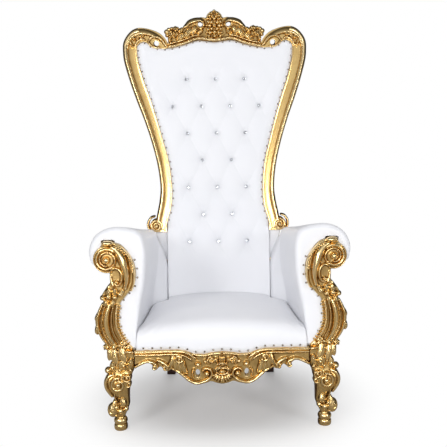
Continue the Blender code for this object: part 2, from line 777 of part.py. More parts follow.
def button_spots():
    """Centres of the buttons: staggered rows, from the top row down."""
    spots = []
    for row in range(BUTTON_ROWS):
        z = TOP_BUTTON_Z - row * BUTTON_PITCH_Z
        if row % 2 == 0:
            places = (-1.0, 0.0, 1.0)
        elif row == 1:
            places = (-1.5, -0.5, 0.5, 1.5)
        else:
            places = (-0.5, 0.5)
        spots += [(row, i, place * BUTTON_PITCH_X, z) for i, place in enumerate(places)]
    return spots


def tuft(a, b):
    """Height of the buttoned cloth: pillows between creases that join the buttons."""
    low = TOP_BUTTON_Z - (BUTTON_ROWS - 1) * BUTTON_PITCH_Z
    across = a / BUTTON_PITCH_X
    up = (b - TOP_BUTTON_Z) / (2 * BUTTON_PITCH_Z)
    pillow = math.sqrt(abs(math.sin(math.pi * (across + up)) * math.sin(math.pi * (across - up))))
    beyond = max(b - TOP_BUTTON_Z, low - b, 0.0) / BUTTON_PITCH_Z
    blend = min(beyond, 1.0)
    return PAD_CROWN * (pillow * (1 - blend) + PLAIN_CROWN * blend)


def edge_distance(outline, point):
    """Shortest distance from a point to a closed outline."""
    p = np.array(outline)
    q = np.roll(p, -1, axis=0)
    run = q - p
    share = np.clip(np.sum((np.array(point) - p) * run, 1) / np.sum(run * run, 1), 0, 1)
    return float(np.min(np.linalg.norm(p + run * share[:, None] - np.array(point), axis=1)))


def crease_edges(knots):
    """Pairs of neighbouring knots that lie on one crease between two buttons."""
    edges = []
    for (j, k), index in knots.items():
        for turn in (1, -1):
            other = knots.get((j + 1, k + turn))
            if other is not None and (j - turn * k) % 4 == 0:
                edges.append((index, other))
    return edges


def build_back_pad(cloth):
    """Buttoned pad: a net whose knots fall on the buttons, creases and crowns."""
    outline = opening_outline(TOUCH * 2)
    loop = np.array(outline)
    rim = len(outline)
    step_x = BUTTON_PITCH_X / 4
    step_z = BUTTON_PITCH_Z / 2
    reach = int(BACK_HALF_WIDTH / step_x) + 1
    rise = int((BACK_HEIGHT + ARM_REAR_RISE) / step_z)
    flat = list(outline)
    knots = {}
    for k in range(-rise, rise):
        for j in range(-reach, reach + 1):
            spot = (j * step_x, TOP_BUTTON_Z + k * step_z)
            if within(loop, *spot) and edge_distance(outline, spot) > NET_MARGIN:
                knots[(j, k)] = len(flat)
                flat.append(spot)
    edges = [(i, (i + 1) % rim) for i in range(rim)] + crease_edges(knots)
    result = delaunay_2d_cdt(flat, edges, [], 1, 0.00001)
    faces = [tuple(f) for f in result[2]]
    verts = [BACK.place(a, b, PAD_EDGE) for a, b in outline]
    for spot in flat[rim:]:
        share = min(edge_distance(outline, spot) / PAD_SHOULDER, 1.0)
        verts.append(BACK.place(*spot, PAD_DIMPLE + tuft(*spot) * math.sqrt(share)))
    base = len(verts)
    verts += [BACK.place(a, b, -PAD_BACK) for a, b in outline]
    for i in range(rim):
        j = (i + 1) % rim
        faces.append((i, base + i, base + j, j))
    faces.append(tuple(base + i for i in range(rim)))
    return solid("back_pad", (verts, faces), cloth)


def within(loop, a, b):
    """True where the point lies inside the closed outline."""
    x = loop[:, 0]
    z = loop[:, 1]
    x2 = np.roll(x, -1)
    z2 = np.roll(z, -1)
    crosses = (z > b) != (z2 > b)
    rise = np.where(z2 == z, 1.0, z2 - z)
    at = x + (b - z) * (x2 - x) / rise
    return bool(np.sum(crosses & (at > a)) % 2)


def build_back_panel(cloth):
    """Plain outside back, set flush between the stiles."""
    outline = opening_outline(TOUCH * 2)
    rear = -PAD_BACK - TOUCH
    rim = [BACK.place(a, b, rear) for a, b in outline]
    inset = grow(outline, -PANEL_BEVEL)
    crown = [BACK.place(a, b, rear - PANEL_THICKNESS) for a, b in inset]
    return solid("back_panel", loft([rim, crown]), cloth)


def build_buttons(crystal):
    """One faceted button in each dimple of the pad."""
    sides = 6
    slope = PAD_CROWN * math.sqrt(0.5) / (BUTTON_PITCH_X / 4)
    foot = 0.2 * BUTTON_RADIUS
    rim = PAD_DIMPLE + TOUCH + slope * BUTTON_RADIUS
    section = (
        (foot, PAD_DIMPLE + TOUCH + slope * foot),
        (BUTTON_RADIUS, rim),
        (0.62 * BUTTON_RADIUS, rim + BUTTON_HEIGHT),
    )
    for row, index, a, b in button_spots():
        rings = []
        for r, d in section:
            turn = [math.pi * 2 * i / sides for i in range(sides)]
            rings.append([BACK.place(a + r * math.cos(t), b + r * math.sin(t), d) for t in turn])
        solid(f"button_{row + 1}_{index + 1}", loft(rings), crystal)


# Arms and seat

# Inner foot, up the inner side, over the roll and down the outer side
ARM_FRONT = (
    (341, 340), (336, 420), (318, 520), (301, 600), (293, 680), (294, 758), (318, 799),
    (384, 812), (437, 809), (486, 787), (511, 752), (516, 716), (503, 678), (466, 650),
    (438, 624), (431, 520), (434, 420), (434, 340),
)
# The same points at the rear: distance out from the pad's edge, and share of the rise
ARM_REAR = (
    (2, 0.0), (2, 0.215), (2, 0.43), (2, 0.62), (2, 0.80), (5, 0.915), (17, 0.972),
    (45, 1.0), (74, 1.0), (98, 0.965), (112, 0.905), (116, 0.845), (106, 0.78), (86, 0.73),
    (66, 0.67), (56, 0.43), (56, 0.215), (56, 0.0),
)
ARM_INNER_COUNT = 6
# Share of the seat depth, and how far the inner and the outer side have gone to the rear shape
ARM_STATIONS = (
    (0.031, 0.0, 0.0), (0.125, 0.02, 0.10), (0.40, 0.14, 0.38), (0.76, 0.27, 0.74),
    (0.875, 0.97, 0.87),
)


# Front edge of the seat: share of the seat depth, share of the side's rise that it is
# lower, and share of the crown
SEAT_NOSE = (0.010, 0.36, 0.10)
# The last two of these at each of the arm's stations
SEAT_ROWS = ((0.08, 0.45), (0.0, 0.9), (0.0, 1.0), (0.0, 0.75), (0.0, 0.55))
SEAT_REAR_CROWN = 0.45


def arm_ring(inner_share, outer_share):
    """Section of the right arm, as (x, z) points."""
    front = post_points(ARM_FRONT)
    mm = BACK_X_SCALE
    ring = []
    for i, ((x, z), (out, rise)) in enumerate(zip(front, ARM_REAR)):
        share = inner_share if i < ARM_INNER_COUNT else outer_share
        rear_x = PAD_FOOT_HALF + out * mm
        rear_z = RAIL_TOP + rise * ARM_REAR_RISE
        ring.append((x + (rear_x - x) * share, max(z + (rear_z - z) * share, CLOTH_FOOT)))
    return ring


def build_arm(cloth):
    """Right arm: a stuffed arm with a rolled top, let in round the carved post."""
    rings = []
    for depth, inner_share, outer_share in ARM_STATIONS:
        y = FRONT_Y + depth * SEAT_DEPTH
        rings.append([(x, y, z) for x, z in arm_ring(inner_share, outer_share)])
    rear = -FRAME_FOOT_SET + TOUCH
    rings.append([BACK.place(x, z, rear) for x, z in arm_ring(1.0, 1.0)])
    pocket = prism(FRONT, pocket_outline(), -POST_DEPTH - TOUCH, CUT_REACH)
    return fuse("arm_pad_right", [loft(rings)], cloth, [pocket])


def build_seat(cloth):
    """Crowned seat between the arms, with a lip that follows the dipped front rail."""
    columns = np.linspace(-1, 1, 7)
    side_z = RAIL_TOP + SEAT_SIDE_RISE
    rear_y = BACK_Y - PAD_DIMPLE - PAD_CROWN - CLOTH_GAP
    rings = []
    y = FRONT_Y + SEAT_NOSE[0] * SEAT_DEPTH
    rings.append(seat_ring(y, 0.0, side_z - SEAT_SIDE_RISE * SEAT_NOSE[1], SEAT_NOSE[2], columns))
    for (depth, share, _), (drop, crown) in zip(ARM_STATIONS, SEAT_ROWS):
        y = FRONT_Y + depth * SEAT_DEPTH
        rings.append(seat_ring(y, share, side_z - SEAT_SIDE_RISE * drop, crown, columns))
    rings.append(seat_ring(rear_y, 1.0, side_z, SEAT_REAR_CROWN, columns))
    edge = [(a, b + TOUCH) for a, b in apron_points(APRON_TOP[2:])]
    inside = CLOTH_FOOT + SEAT_EDGE_ROUND
    corners = [(-edge[0][0], inside), (edge[0][0], inside)]
    outline = edge + mirrored(edge)[1:] + corners
    lip = prism(FRONT, outline, -SEAT_LIP_SET - SEAT_LIP_DEPTH, -SEAT_LIP_SET)
    return fuse("seat_cushion", [loft(rings), lip], cloth)


def seat_ring(y, share, side_z, crown, columns):
    """Section of the seat across the throne: flat foot, upright sides, crowned top."""
    inner = arm_ring(share, share)
    low = inner[0][0] - CLOTH_GAP
    reach = (side_z - inner[0][1]) / (inner[1][1] - inner[0][1])
    high = inner[0][0] + (inner[1][0] - inner[0][0]) * reach - 2 * CLOTH_GAP
    ring = [(-low, y, CLOTH_FOOT)]
    for u in columns:
        rise = SEAT_CROWN * crown * (1 - abs(u) ** 2.2)
        ring.append((u * high, y, side_z + rise))
    ring[1] = (-high, y, side_z - SEAT_EDGE_ROUND)
    ring[-1] = (high, y, side_z - SEAT_EDGE_ROUND)
    ring.append((low, y, CLOTH_FOOT))
    return ring


def centre_on_floor():
    """Moves every piece so that the middle of the whole box stands over the origin."""
    meshes = {obj.data.name: obj.data for obj in bpy.context.scene.objects if obj.type == "MESH"}
    points = []
    for mesh in meshes.values():
        co = np.empty(len(mesh.vertices) * 3)
        mesh.vertices.foreach_get("co", co)
        points.append(co.reshape(-1, 3))
    every = np.concatenate(points)
    middle = (every.min(axis=0) + every.max(axis=0)) / 2
    for mesh, co in zip(meshes.values(), points):
        co[:, 1] -= middle[1]
        mesh.vertices.foreach_set("co", co.ravel())
        mesh.update()


def main():
    for obj in list(bpy.data.objects):
        bpy.data.objects.remove(obj)
    gold = material("gilding", (0.78, 0.52, 0.16), 0.30, 1.0)
    cloth = material("white_leather", (0.86, 0.87, 0.90), 0.45, 0.0)
    crystal = material("crystal", (0.92, 0.94, 0.97), 0.10, 0.0)
    wood = material("dark_wood", (0.035, 0.012, 0.008), 0.35, 0.0)
    pairs = (
        (build_front_leg(gold), "front_leg_left"),
        (build_arm_post(gold), "arm_post_left"),
        (build_side_rail(gold), "seat_rail_left"),
        (build_rear_leg(wood), "rear_leg_left"),
        (build_back_frame(gold), "back_frame_left"),
        (build_arm(cloth), "arm_pad_left"),
    )
    for piece, other in pairs:
        mirror_copy(piece, other)
    build_apron(gold)
    build_back_rail(gold)
    build_crest(gold)
    build_back_pad(cloth)
    build_back_panel(cloth)
    build_buttons(crystal)
    build_seat(cloth)
    centre_on_floor()


main()
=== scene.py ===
"""Finished surfaces of a tall throne: gilded carving, white buttoned leather, crystal buttons.

Carvings are drawn in millimetres on a flat sheet as (a, b, d): a to the right, b up and d
out of the sheet. FRONT is the plane of the carved face, BACK the leaning plane of the back.
Only the right half of each pair is shaped; the left one is its mirror image.
"""
import json
import math

import bmesh
import bpy
import numpy as np
from mathutils import Matrix, Vector

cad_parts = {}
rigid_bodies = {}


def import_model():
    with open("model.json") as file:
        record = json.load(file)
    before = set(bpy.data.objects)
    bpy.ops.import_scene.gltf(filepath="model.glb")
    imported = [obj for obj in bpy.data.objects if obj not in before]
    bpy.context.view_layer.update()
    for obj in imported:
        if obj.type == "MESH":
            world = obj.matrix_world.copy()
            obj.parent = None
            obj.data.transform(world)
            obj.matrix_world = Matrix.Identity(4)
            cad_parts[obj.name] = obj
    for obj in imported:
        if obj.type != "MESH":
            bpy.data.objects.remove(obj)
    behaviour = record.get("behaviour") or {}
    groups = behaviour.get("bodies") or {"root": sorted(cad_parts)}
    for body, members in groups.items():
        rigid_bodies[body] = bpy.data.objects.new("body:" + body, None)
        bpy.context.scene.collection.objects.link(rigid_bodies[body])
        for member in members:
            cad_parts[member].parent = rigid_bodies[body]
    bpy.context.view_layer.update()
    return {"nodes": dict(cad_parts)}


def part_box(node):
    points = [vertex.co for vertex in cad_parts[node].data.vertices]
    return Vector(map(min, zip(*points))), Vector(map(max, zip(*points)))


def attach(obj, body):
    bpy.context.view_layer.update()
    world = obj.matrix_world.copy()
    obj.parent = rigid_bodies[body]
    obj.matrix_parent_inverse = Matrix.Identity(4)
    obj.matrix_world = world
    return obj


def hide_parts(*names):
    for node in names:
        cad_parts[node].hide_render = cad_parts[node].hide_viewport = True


bl_info = {
    "name": "Throne finish",
    "version": (1, 0, 0),
    "blender": (4, 5, 0),
    "location": "View3D > Sidebar > Throne",
    "description": "Carved gilding, buttoned white leather and crystal buttons of a throne",
    "category": "Object",
}

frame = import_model()
MM = 0.001

# Sizes in millimetres, as in the solids
RAIL_TOP = 340.0
SEAT_DEPTH = 578.0
APRON_DEPTH = 42.0
APRON_HALF = 348.7
POST_DEPTH = 68.0
BACK_SLOPE = 0.147
ARM_RISE = 372.0
PAD_FOOT_HALF = 244.0
SEAT_SIDE_RISE = 78.0
SEAT_CROWN = 34.0
PITCH_X = 139.0
PITCH_Z = 128.8
TOP_BUTTON_Z = 1446.0
BUTTON_ROWS = 7
FRONT_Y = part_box("seat_rail_front")[1][1] / MM - APRON_DEPTH
BACK_Y = FRONT_Y + SEAT_DEPTH


def on_front(p):
    """Sheet to world for the carved face: x = a, y = face - d, z = b."""
    return np.stack([p[..., 0], FRONT_Y - p[..., 2], p[..., 1]], -1) * MM


def on_back(p):
    """Sheet to world for the leaning back: y = foot + slope * (b - rail top) - d."""
    y = BACK_Y + BACK_SLOPE * (p[..., 1] - RAIL_TOP) - p[..., 2]
    return np.stack([p[..., 0], y, p[..., 1]], -1) * MM


# Bodies: each is (points in the sheet's own coordinates, faces).
# A stroke's profile gives its height across the width, from one edge to the other.

def spline(rows, step):
    """Catmull-Rom cubic through the rows, then points at equal lengths along it.

    Every column of a row, such as a half width or a height, follows the same cubic.
    """
    p = np.array(rows, float)
    q = np.vstack([2 * p[0] - p[1], p, 2 * p[-1] - p[-2]])
    t = np.linspace(0, 1, 17)[:-1][None, :, None]
    a, b, c, e = (q[k:len(q) - 3 + k][:, None, :] for k in range(4))
    cubic = 0.5 * (
        2 * b + (c - a) * t + (2 * a - 5 * b + 4 * c - e) * t ** 2
        + (3 * b - a - 3 * c + e) * t ** 3
    )
    cubic = np.vstack([cubic.reshape(-1, p.shape[1]), p[-1:]])
    run = np.r_[0, np.cumsum(np.linalg.norm(np.diff(cubic[:, :2], axis=0), axis=1))]
    at = np.linspace(0, run[-1], max(int(run[-1] / step), 4) + 1)
    return np.stack([np.interp(at, run, cubic[:, k]) for k in range(p.shape[1])], 1)


def skin(grid, flat_ends=False):
    """Closed body over a grid (ring, point, axis): rings joined, ends closed by fans or flat."""
    n, m = grid.shape[:2]
    i = np.arange(n - 1)[:, None] * m
    j = np.arange(m)[None]
    k = (j + 1) % m
    faces = np.stack([i + j, i + k, i + m + k, i + m + j], -1).reshape(-1, 4).tolist()
    points = grid.reshape(-1, 3)
    if flat_ends:
        return points, faces + [list(range(m)), list(range((n - 1) * m, n * m))[::-1]]
    points = np.vstack([points, grid[0].mean(0), grid[-1].mean(0)])
    j, k = j[0], k[0]
    first = np.stack([k, j, np.full(m, n * m)], 1)
    last = np.stack([j, k, np.full(m, n * m + 1)], 1) + np.array([(n - 1) * m] * 2 + [0])
    return points, faces + first.tolist() + last.tolist()


def pillow(front, rear, step):
    """Closed body of a fine front grid and a flat rear grid that keeps each step-th column.

    The first and the last row are closed by a strip with one face to each rear column.
    """
    n, columns = front.shape[:2]
    points, faces = skin(np.concatenate([front, rear[:, ::-step]], 1), flat_ends=True)
    m = len(points) // n
    i = np.arange((columns - 1) // step)[:, None]
    strip = np.hstack([i * step + np.arange(step + 1), m - 2 - i, m - 1 - i])
    return points, faces[:-2] + strip.tolist() + (strip[:, ::-1] + (n - 1) * m).tolist()


ACROSS = np.linspace(-1, 1, 17)
ROUND = np.sqrt(np.maximum(1 - ACROSS ** 2, 0))
LEANING = np.interp(
    ACROSS, [-1, -0.6, -0.1, 0.3, 0.6, 0.85, 1], [0, 0.42, 0.75, 0.93, 1, 0.8, 0.2],
)
BROAD = (1 - np.abs(ACROSS) ** 2.6) ** 0.75


def stroke(rows, lift=0.0, profile=ROUND, sink=12.0, round_ends=(True, True), step=2.0):
    """Moulding along a curve; a row is (a, b, half width, height).

    Across, the height is the profile times the row's height over lift. At a round end
    width and height fall off as a quarter circle.
    """
    p = spline(rows, step)
    along = np.gradient(p[:, :2], axis=0)
    along /= np.linalg.norm(along, axis=1)[:, None]
    width, height = p[:, 2].copy(), p[:, 3].copy()
    run = np.r_[0, np.cumsum(np.linalg.norm(np.diff(p[:, :2], axis=0), axis=1))]
    for rounded, way in zip(round_ends, (run, run[-1] - run)):
        if rounded:
            near = np.clip(way / np.maximum(p[:, 2], 1.0), 0, 1)
            fall = np.sqrt(np.clip(1 - (1 - near) ** 2, 0.02, 1))
            width *= fall
            height *= fall
    a = p[:, 0, None] - along[:, 1, None] * ACROSS * width[:, None]
    b = p[:, 1, None] + along[:, 0, None] * ACROSS * width[:, None]
    d = lift + profile * height[:, None]
    top = np.stack([a, b, d], -1)
    foot = top[:, [-1, 0]].copy()
    foot[..., 2] = lift - sink
    return skin(np.concatenate([top, foot], 1))


def winding(centre, radius, turn, width, height, start):
    """Rows of a scroll for stroke: the radius, width and height change evenly with the angle."""
    share = np.linspace(0, 1, max(int(abs(turn) / 24), 4))
    angle = np.radians(start + turn * share)
    r, w, h = (v[0] + (v[1] - v[0]) * share for v in (radius, width, height))
    return np.stack([centre[0] + r * np.cos(angle), centre[1] + r * np.sin(angle), w, h], 1)


def ball(a, b, d, across, up=None, out=None):
    """Ellipsoid about (a, b, d): rings of sin(phi) from pole to pole."""
    up = across if up is None else up
    out = across if out is None else out
    phi = np.linspace(0.08, math.pi - 0.08, 11)[:, None]
    turn = np.linspace(0, 2 * math.pi, 17)[None, :-1]
    grid = np.stack([
        a + across * np.sin(phi) * np.cos(turn),
        b + up * np.sin(phi) * np.sin(turn),
        d + out * np.cos(phi) * np.ones_like(turn),
    ], -1)
    return skin(grid)


def leaf(foot, tip, half, height, bend=0.0, curl=6.0, lobes=3, lift=0.0, sink=12.0):
    """Acanthus leaf: along s from foot to tip, across t from edge to edge.

    The midrib is a parabola pushed sideways by bend. The half width is a skewed sine of
    s with notches between the lobes, the height a rounded blade with a rib, a groove by
    each side vein and a tip that lifts by curl.
    """
    s = np.linspace(0, 1, 34)[:, None]
    t = np.linspace(-1, 1, 21)[None]
    f, e = np.array(foot, float), np.array(tip, float)
    run = e - f
    length = np.linalg.norm(run)
    side = np.array([-run[1], run[0]]) / length
    bow = 4 * bend * length * s * (1 - s)
    slope = 4 * bend * (1 - 2 * s)
    outline = np.sin(math.pi * np.clip(0.13 + 0.87 * s ** 0.9, 0, 1)) ** 0.62
    notch = 1 - 0.26 * np.abs(np.sin(math.pi * lobes * (s ** 0.9 + 0.02))) ** 6 * (1 - s)
    width = half * (outline * notch + 0.02)
    across = width * t / np.sqrt(1 + slope ** 2)
    forward = 0.35 * width * np.abs(t) * notch
    a = f[0] + run[0] * s + side[0] * (bow + across) + run[0] / length * (forward - slope * across)
    b = f[1] + run[1] * s + side[1] * (bow + across) + run[1] / length * (forward - slope * across)
    vein = 0.10 * np.abs(t) * np.cos(2 * math.pi * lobes * (s ** 0.9 - 0.16 * np.abs(t)))
    blade = (0.42 + 0.5 * np.sin(math.pi * s) ** 0.8) * (1 - 0.62 * np.abs(t) ** 2.2)
    rib = 0.20 * np.exp(-((t / 0.13) ** 2)) * (1 - 0.6 * s)
    dip = 0.13 * np.exp(-(((np.abs(t) - 0.30) / 0.14) ** 2)) * (1 - 0.5 * s)
    d = lift + height * (blade + rib - dip - vein * 0.8) + curl * s ** 3 * (1 - 0.4 * np.abs(t))
    top = np.stack([a, b, d], -1)
    foot_points = top[:, ::-1][:, ::5].copy()
    foot_points[..., 2] = lift - sink
    return skin(np.concatenate([top, foot_points], 1))


def flower(a, b, radius, lift=0.0, petals=5, turn=0.0, height=0.5):
    """Open flower: petals as tilted ellipsoids round a middle bead."""
    bodies = [ball(a, b, lift + radius * height * 0.9, radius * 0.30, out=radius * 0.42)]
    for k in range(petals):
        angle = turn + 2 * math.pi * k / petals
        at = (a + 0.60 * radius * math.cos(angle), b + 0.60 * radius * math.sin(angle))
        outer = (a + 0.98 * radius * math.cos(angle), b + 0.98 * radius * math.sin(angle))
        bodies.append(leaf((a, b), outer, radius * 0.40, radius * height, 0, radius * 0.25, 1, lift))
        bodies.append(ball(*at, lift, radius * 0.34, out=radius * height * 0.9))
    return bodies


def slab(outline, low, high, bevel=4.0):
    """Flat shape with thickness from low to high and a rounded front edge."""
    p = np.array(outline, float)
    steps = np.linspace(0, math.pi / 2, 5)
    rings = [(0.0, low)]
    rings += [(bevel * (1 - math.cos(x)), high - bevel * (1 - math.sin(x))) for x in steps]
    grid = np.stack([np.c_[inset(p, by), np.full(len(p), d)] for by, d in rings])
    return skin(grid, flat_ends=True)


def inset(p, by):
    """A closed outline moved inwards by one distance, or one a point, along its bisectors."""
    area = np.sum(p[:, 0] * np.roll(p[:, 1], -1) - np.roll(p[:, 0], -1) * p[:, 1])
    before = p - np.roll(p, 1, axis=0)
    after = np.roll(p, -1, axis=0) - p
    before /= np.maximum(np.linalg.norm(before, axis=1), 1e-9)[:, None]
    after /= np.maximum(np.linalg.norm(after, axis=1), 1e-9)[:, None]
    normal = np.stack([before[:, 1] + after[:, 1], -before[:, 0] - after[:, 0]], 1)
    length = np.maximum(np.linalg.norm(normal, axis=1), 1.0)
    return p - math.copysign(2, area) * (by * normal.T / length ** 2).T


def arc(a, b, radius, start, end, count):
    """Points on a circle between two angles in degrees."""
    t = np.radians(np.linspace(start, end, count))
    return [(a + radius * x, b + radius * y) for x, y in zip(np.cos(t), np.sin(t))]


def both(bodies):
    """The bodies and their mirror images across the middle."""
    flip = np.array([-1.0, 1.0, 1.0])
    return bodies + [(points * flip, faces) for points, faces in bodies]


def gather(bodies):
    """All bodies as one list of points and faces."""
    points, faces, base = [], [], 0
    for p, f in bodies:
        points.append(p)
        faces += [[v + base for v in face] for face in f]
        base += len(p)
    return np.vstack(points), faces


def new_mesh(name, points, faces):
    """Mesh from points in metres, doubles merged and faces turned outwards."""
    mesh = bpy.data.meshes.new(name)
    mesh.from_pydata(points.tolist(), [], faces)
    work = bmesh.new()
    work.from_mesh(mesh)
    bmesh.ops.remove_doubles(work, verts=work.verts, dist=0.000001)
    bmesh.ops.recalc_face_normals(work, faces=work.faces)
    work.to_mesh(mesh)
    work.free()
    return mesh


def read(mesh, collection, field, width, kind=float):
    """One field of a mesh's vertices, edges or loops as an array."""
    items = getattr(mesh, collection)
    out = np.empty(len(items) * width, kind)
    items.foreach_get(field, out)
    return out.reshape(-1, width) if width > 1 else out


def shade_side(mesh, way=-1.0):
    """Darkens the side that faces the middle: the hollow rises to 1 where the normal does so."""
    layer = mesh.attributes["hollow"]
    value = np.empty(len(mesh.vertices), np.float32)
    layer.data.foreach_get("value", value)
    facing = np.clip((read(mesh, "vertices", "normal", 3)[:, 0] * way - 0.72) / 0.2, 0, 1)
    layer.data.foreach_set("value", (value + (1.2 - value) * facing).astype(np.float32))


def mark_hollows(mesh, clean_from=None, rounds=26, reach=0.0022):
    """Stores how hollow each point lies, from -1 on a crest to 1 in a groove.

    The surface is averaged with its neighbours round by round; the hollow is how far that
    moves a point along its normal, over reach, as a wide and a narrow measure together.
    Points from clean_from on belong to swept parts with longer edges and count for less.
    """
    co = read(mesh, "vertices", "co", 3)
    normal = read(mesh, "vertices", "normal", 3)
    a, b = read(mesh, "edges", "vertices", 2, np.int32).T
    count = len(co)
    links = np.maximum(np.bincount(a, minlength=count) + np.bincount(b, minlength=count), 1)
    smooth = co.copy()
    near = np.zeros(count)
    for k in range(rounds):
        total = np.stack([
            np.bincount(a, smooth[b, i], count) + np.bincount(b, smooth[a, i], count)
            for i in range(3)
        ], 1)
        smooth = 0.4 * smooth + 0.6 * total / links[:, None]
        if k == 5:
            near = np.sum((smooth - co) * normal, 1) / (0.35 * reach)
    far = np.sum((smooth - co) * normal, 1) / reach
    value = 0.55 * far + 0.45 * near
    value[clean_from:] *= 1.0 if clean_from is None else 0.3
    value = np.clip(value, -1, 1)
    layer = mesh.attributes.new("hollow", "FLOAT", "POINT")
    layer.data.foreach_set("value", value.astype(np.float32))


def add_piece(name, mesh, finish, replaced):
    """Links a finished mesh, gives it its material and fits it to the frame."""
    obj = bpy.data.objects.new(name, mesh)
    bpy.context.scene.collection.objects.link(obj)
    mesh.materials.clear()
    mesh.materials.append(finish)
    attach(obj, "root")
    if replaced:
        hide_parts(*replaced)
    return obj


def remeshed(name, points, faces, voxel, rounds, keep, room=None):
    """One even skin over bodies that cross: voxels, rounds of smoothing, fewer faces.

    room is a body that is cut out at the end.
    """
    scene = bpy.context.scene.collection.objects
    rough = bpy.data.objects.new(name + "_rough", new_mesh(name + "_rough", points, faces))
    scene.link(rough)
    join = rough.modifiers.new("join", "REMESH")
    join.mode = "VOXEL"
    join.voxel_size = voxel * MM
    ease = rough.modifiers.new("ease", "SMOOTH")
    ease.factor = 0.5
    ease.iterations = rounds
    thin = rough.modifiers.new("thin", "DECIMATE")
    thin.ratio = keep
    helpers = [rough]
    if room:
        helpers.append(bpy.data.objects.new(name + "_room", new_mesh(name + "_room", *room)))
        scene.link(helpers[-1])
        cut = rough.modifiers.new("cut", "BOOLEAN")
        cut.object = helpers[-1]
        cut.solver = "EXACT"
    graph = bpy.context.evaluated_depsgraph_get()
    mesh = bpy.data.meshes.new_from_object(rough.evaluated_get(graph))
    for helper in helpers:
        bpy.data.objects.remove(helper)
    mesh.name = name
    return mesh


def carve(name, bodies, place, voxel, keep, extra=()):
    """One skin over all bodies, with its hollows marked.

    The bodies of extra stay as they are and join the result.
    """
    points, faces = gather(bodies)
    mesh = remeshed(name, place(points), faces, voxel, 3, keep)
    clean_from = len(mesh.vertices) if extra else None
    if extra:
        points, faces = gather(extra)
        work = bmesh.new()
        work.from_mesh(mesh)
        work.from_mesh(new_mesh(name, place(points), faces))
        work.to_mesh(mesh)
        work.free()
    mark_hollows(mesh, clean_from)
    mesh.shade_smooth()
    return mesh


def soft_skin(name, body, place, voxel, keep, room):
    """A stuffed form as one even skin, with room cut out and crisp edges there."""
    mesh = remeshed(name, place(body[0]), body[1], voxel, 6, keep, (place(room[0]), room[1]))
    mesh.shade_smooth()
    mesh.set_sharp_from_angle(angle=math.radians(50))
    return mesh


def smooth_mesh(name, body, place):
    """Smooth mesh of one body as it is."""
    mesh = new_mesh(name, place(body[0]), body[1])
    mesh.shade_smooth()
    return mesh


def mirrored(mesh, name):
    """The same mesh for the left side, turned outwards again."""
    copy = mesh.copy()
    copy.name = name
    co = read(copy, "vertices", "co", 3) * np.array([-1.0, 1.0, 1.0])
    copy.vertices.foreach_set("co", co.ravel())
    copy.flip_normals()
    return copy


def add_pair(name, mesh, finish):
    """Right and left piece from the right one's mesh."""
    add_piece(f"{name}_right_finish", mesh, finish, [name + "_right"])
    add_piece(f"{name}_left_finish", mirrored(mesh, name + "_left"), finish, [name + "_left"])


# Drawings of the carved pieces

# Height, inner and outer edge, and depth of the front and of the rear side
LEG_STATIONS = (
    (340, 349, 440, 0, 85), (300, 349, 437, 1, 85), (262, 351, 450, -6, 84),
    (243, 360, 452, -10, 82), (217, 366, 463, -20, 78), (190, 371, 461, -18, 72),
    (160, 374, 448, -6, 66), (133, 375, 435, 6, 62), (108, 376, 444, 8, 62),
    (84, 386, 448, 6, 62), (60, 396, 437, 18, 60),
)
FOOT_CENTRE = (416.0, 41.0)
FOOT_RADIUS = 27.0
# Height and share of the radius
FOOT_PROFILE = (
    (0, 0.88), (3, 0.97), (9, 1.02), (19, 1.02), (23, 0.97), (25, 0.88), (28, 0.88), (31, 0.97),
    (36, 1.03), (43, 1.03), (48, 0.93), (54, 0.74), (62, 0.66), (72, 0.70),
)


def leg_body():
    """Cabriole leg: a rounded square section carried down through the stations.

    The section is a superellipse between the inner, outer, front and rear edge; its power
    goes from 3.4 in the shin to 12, nearly square, where the leg meets the front rail.
    """
    rows = spline([(z, i, i2, f, r) for z, i, i2, f, r in LEG_STATIONS], 3.0)
    turn = np.linspace(0, 2 * math.pi, 49)[None, :-1]
    z, inner, outer, front, rear = (rows[:, k, None] for k in range(5))
    power = 2 / np.interp(z, (200, 262, 310), (3.4, 6.0, 12.0))
    u = np.sign(np.cos(turn)) * np.abs(np.cos(turn)) ** power
    v = np.sign(np.sin(turn)) * np.abs(np.sin(turn)) ** power
    a = (inner + outer) / 2 + u * (outer - inner) / 2
    d = -((front + rear) / 2 + v * (rear - front) / 2)
    return skin(np.stack([a, z * np.ones_like(u), d], -1))


def turned_foot():
    """Turned pad: the profile's radius carried round the foot's own line."""
    rows = np.array(FOOT_PROFILE)
    z = np.linspace(0, 72, 49)[:, None]
    r = FOOT_RADIUS * np.interp(z, rows[:, 0], rows[:, 1])
    turn = np.linspace(0, 2 * math.pi, 49)[None, :-1]
    a = FOOT_CENTRE[0] + r * np.cos(turn)
    d = -FOOT_CENTRE[1] + r * np.sin(turn)
    return skin(np.stack([a, z * np.ones_like(turn), d], -1))


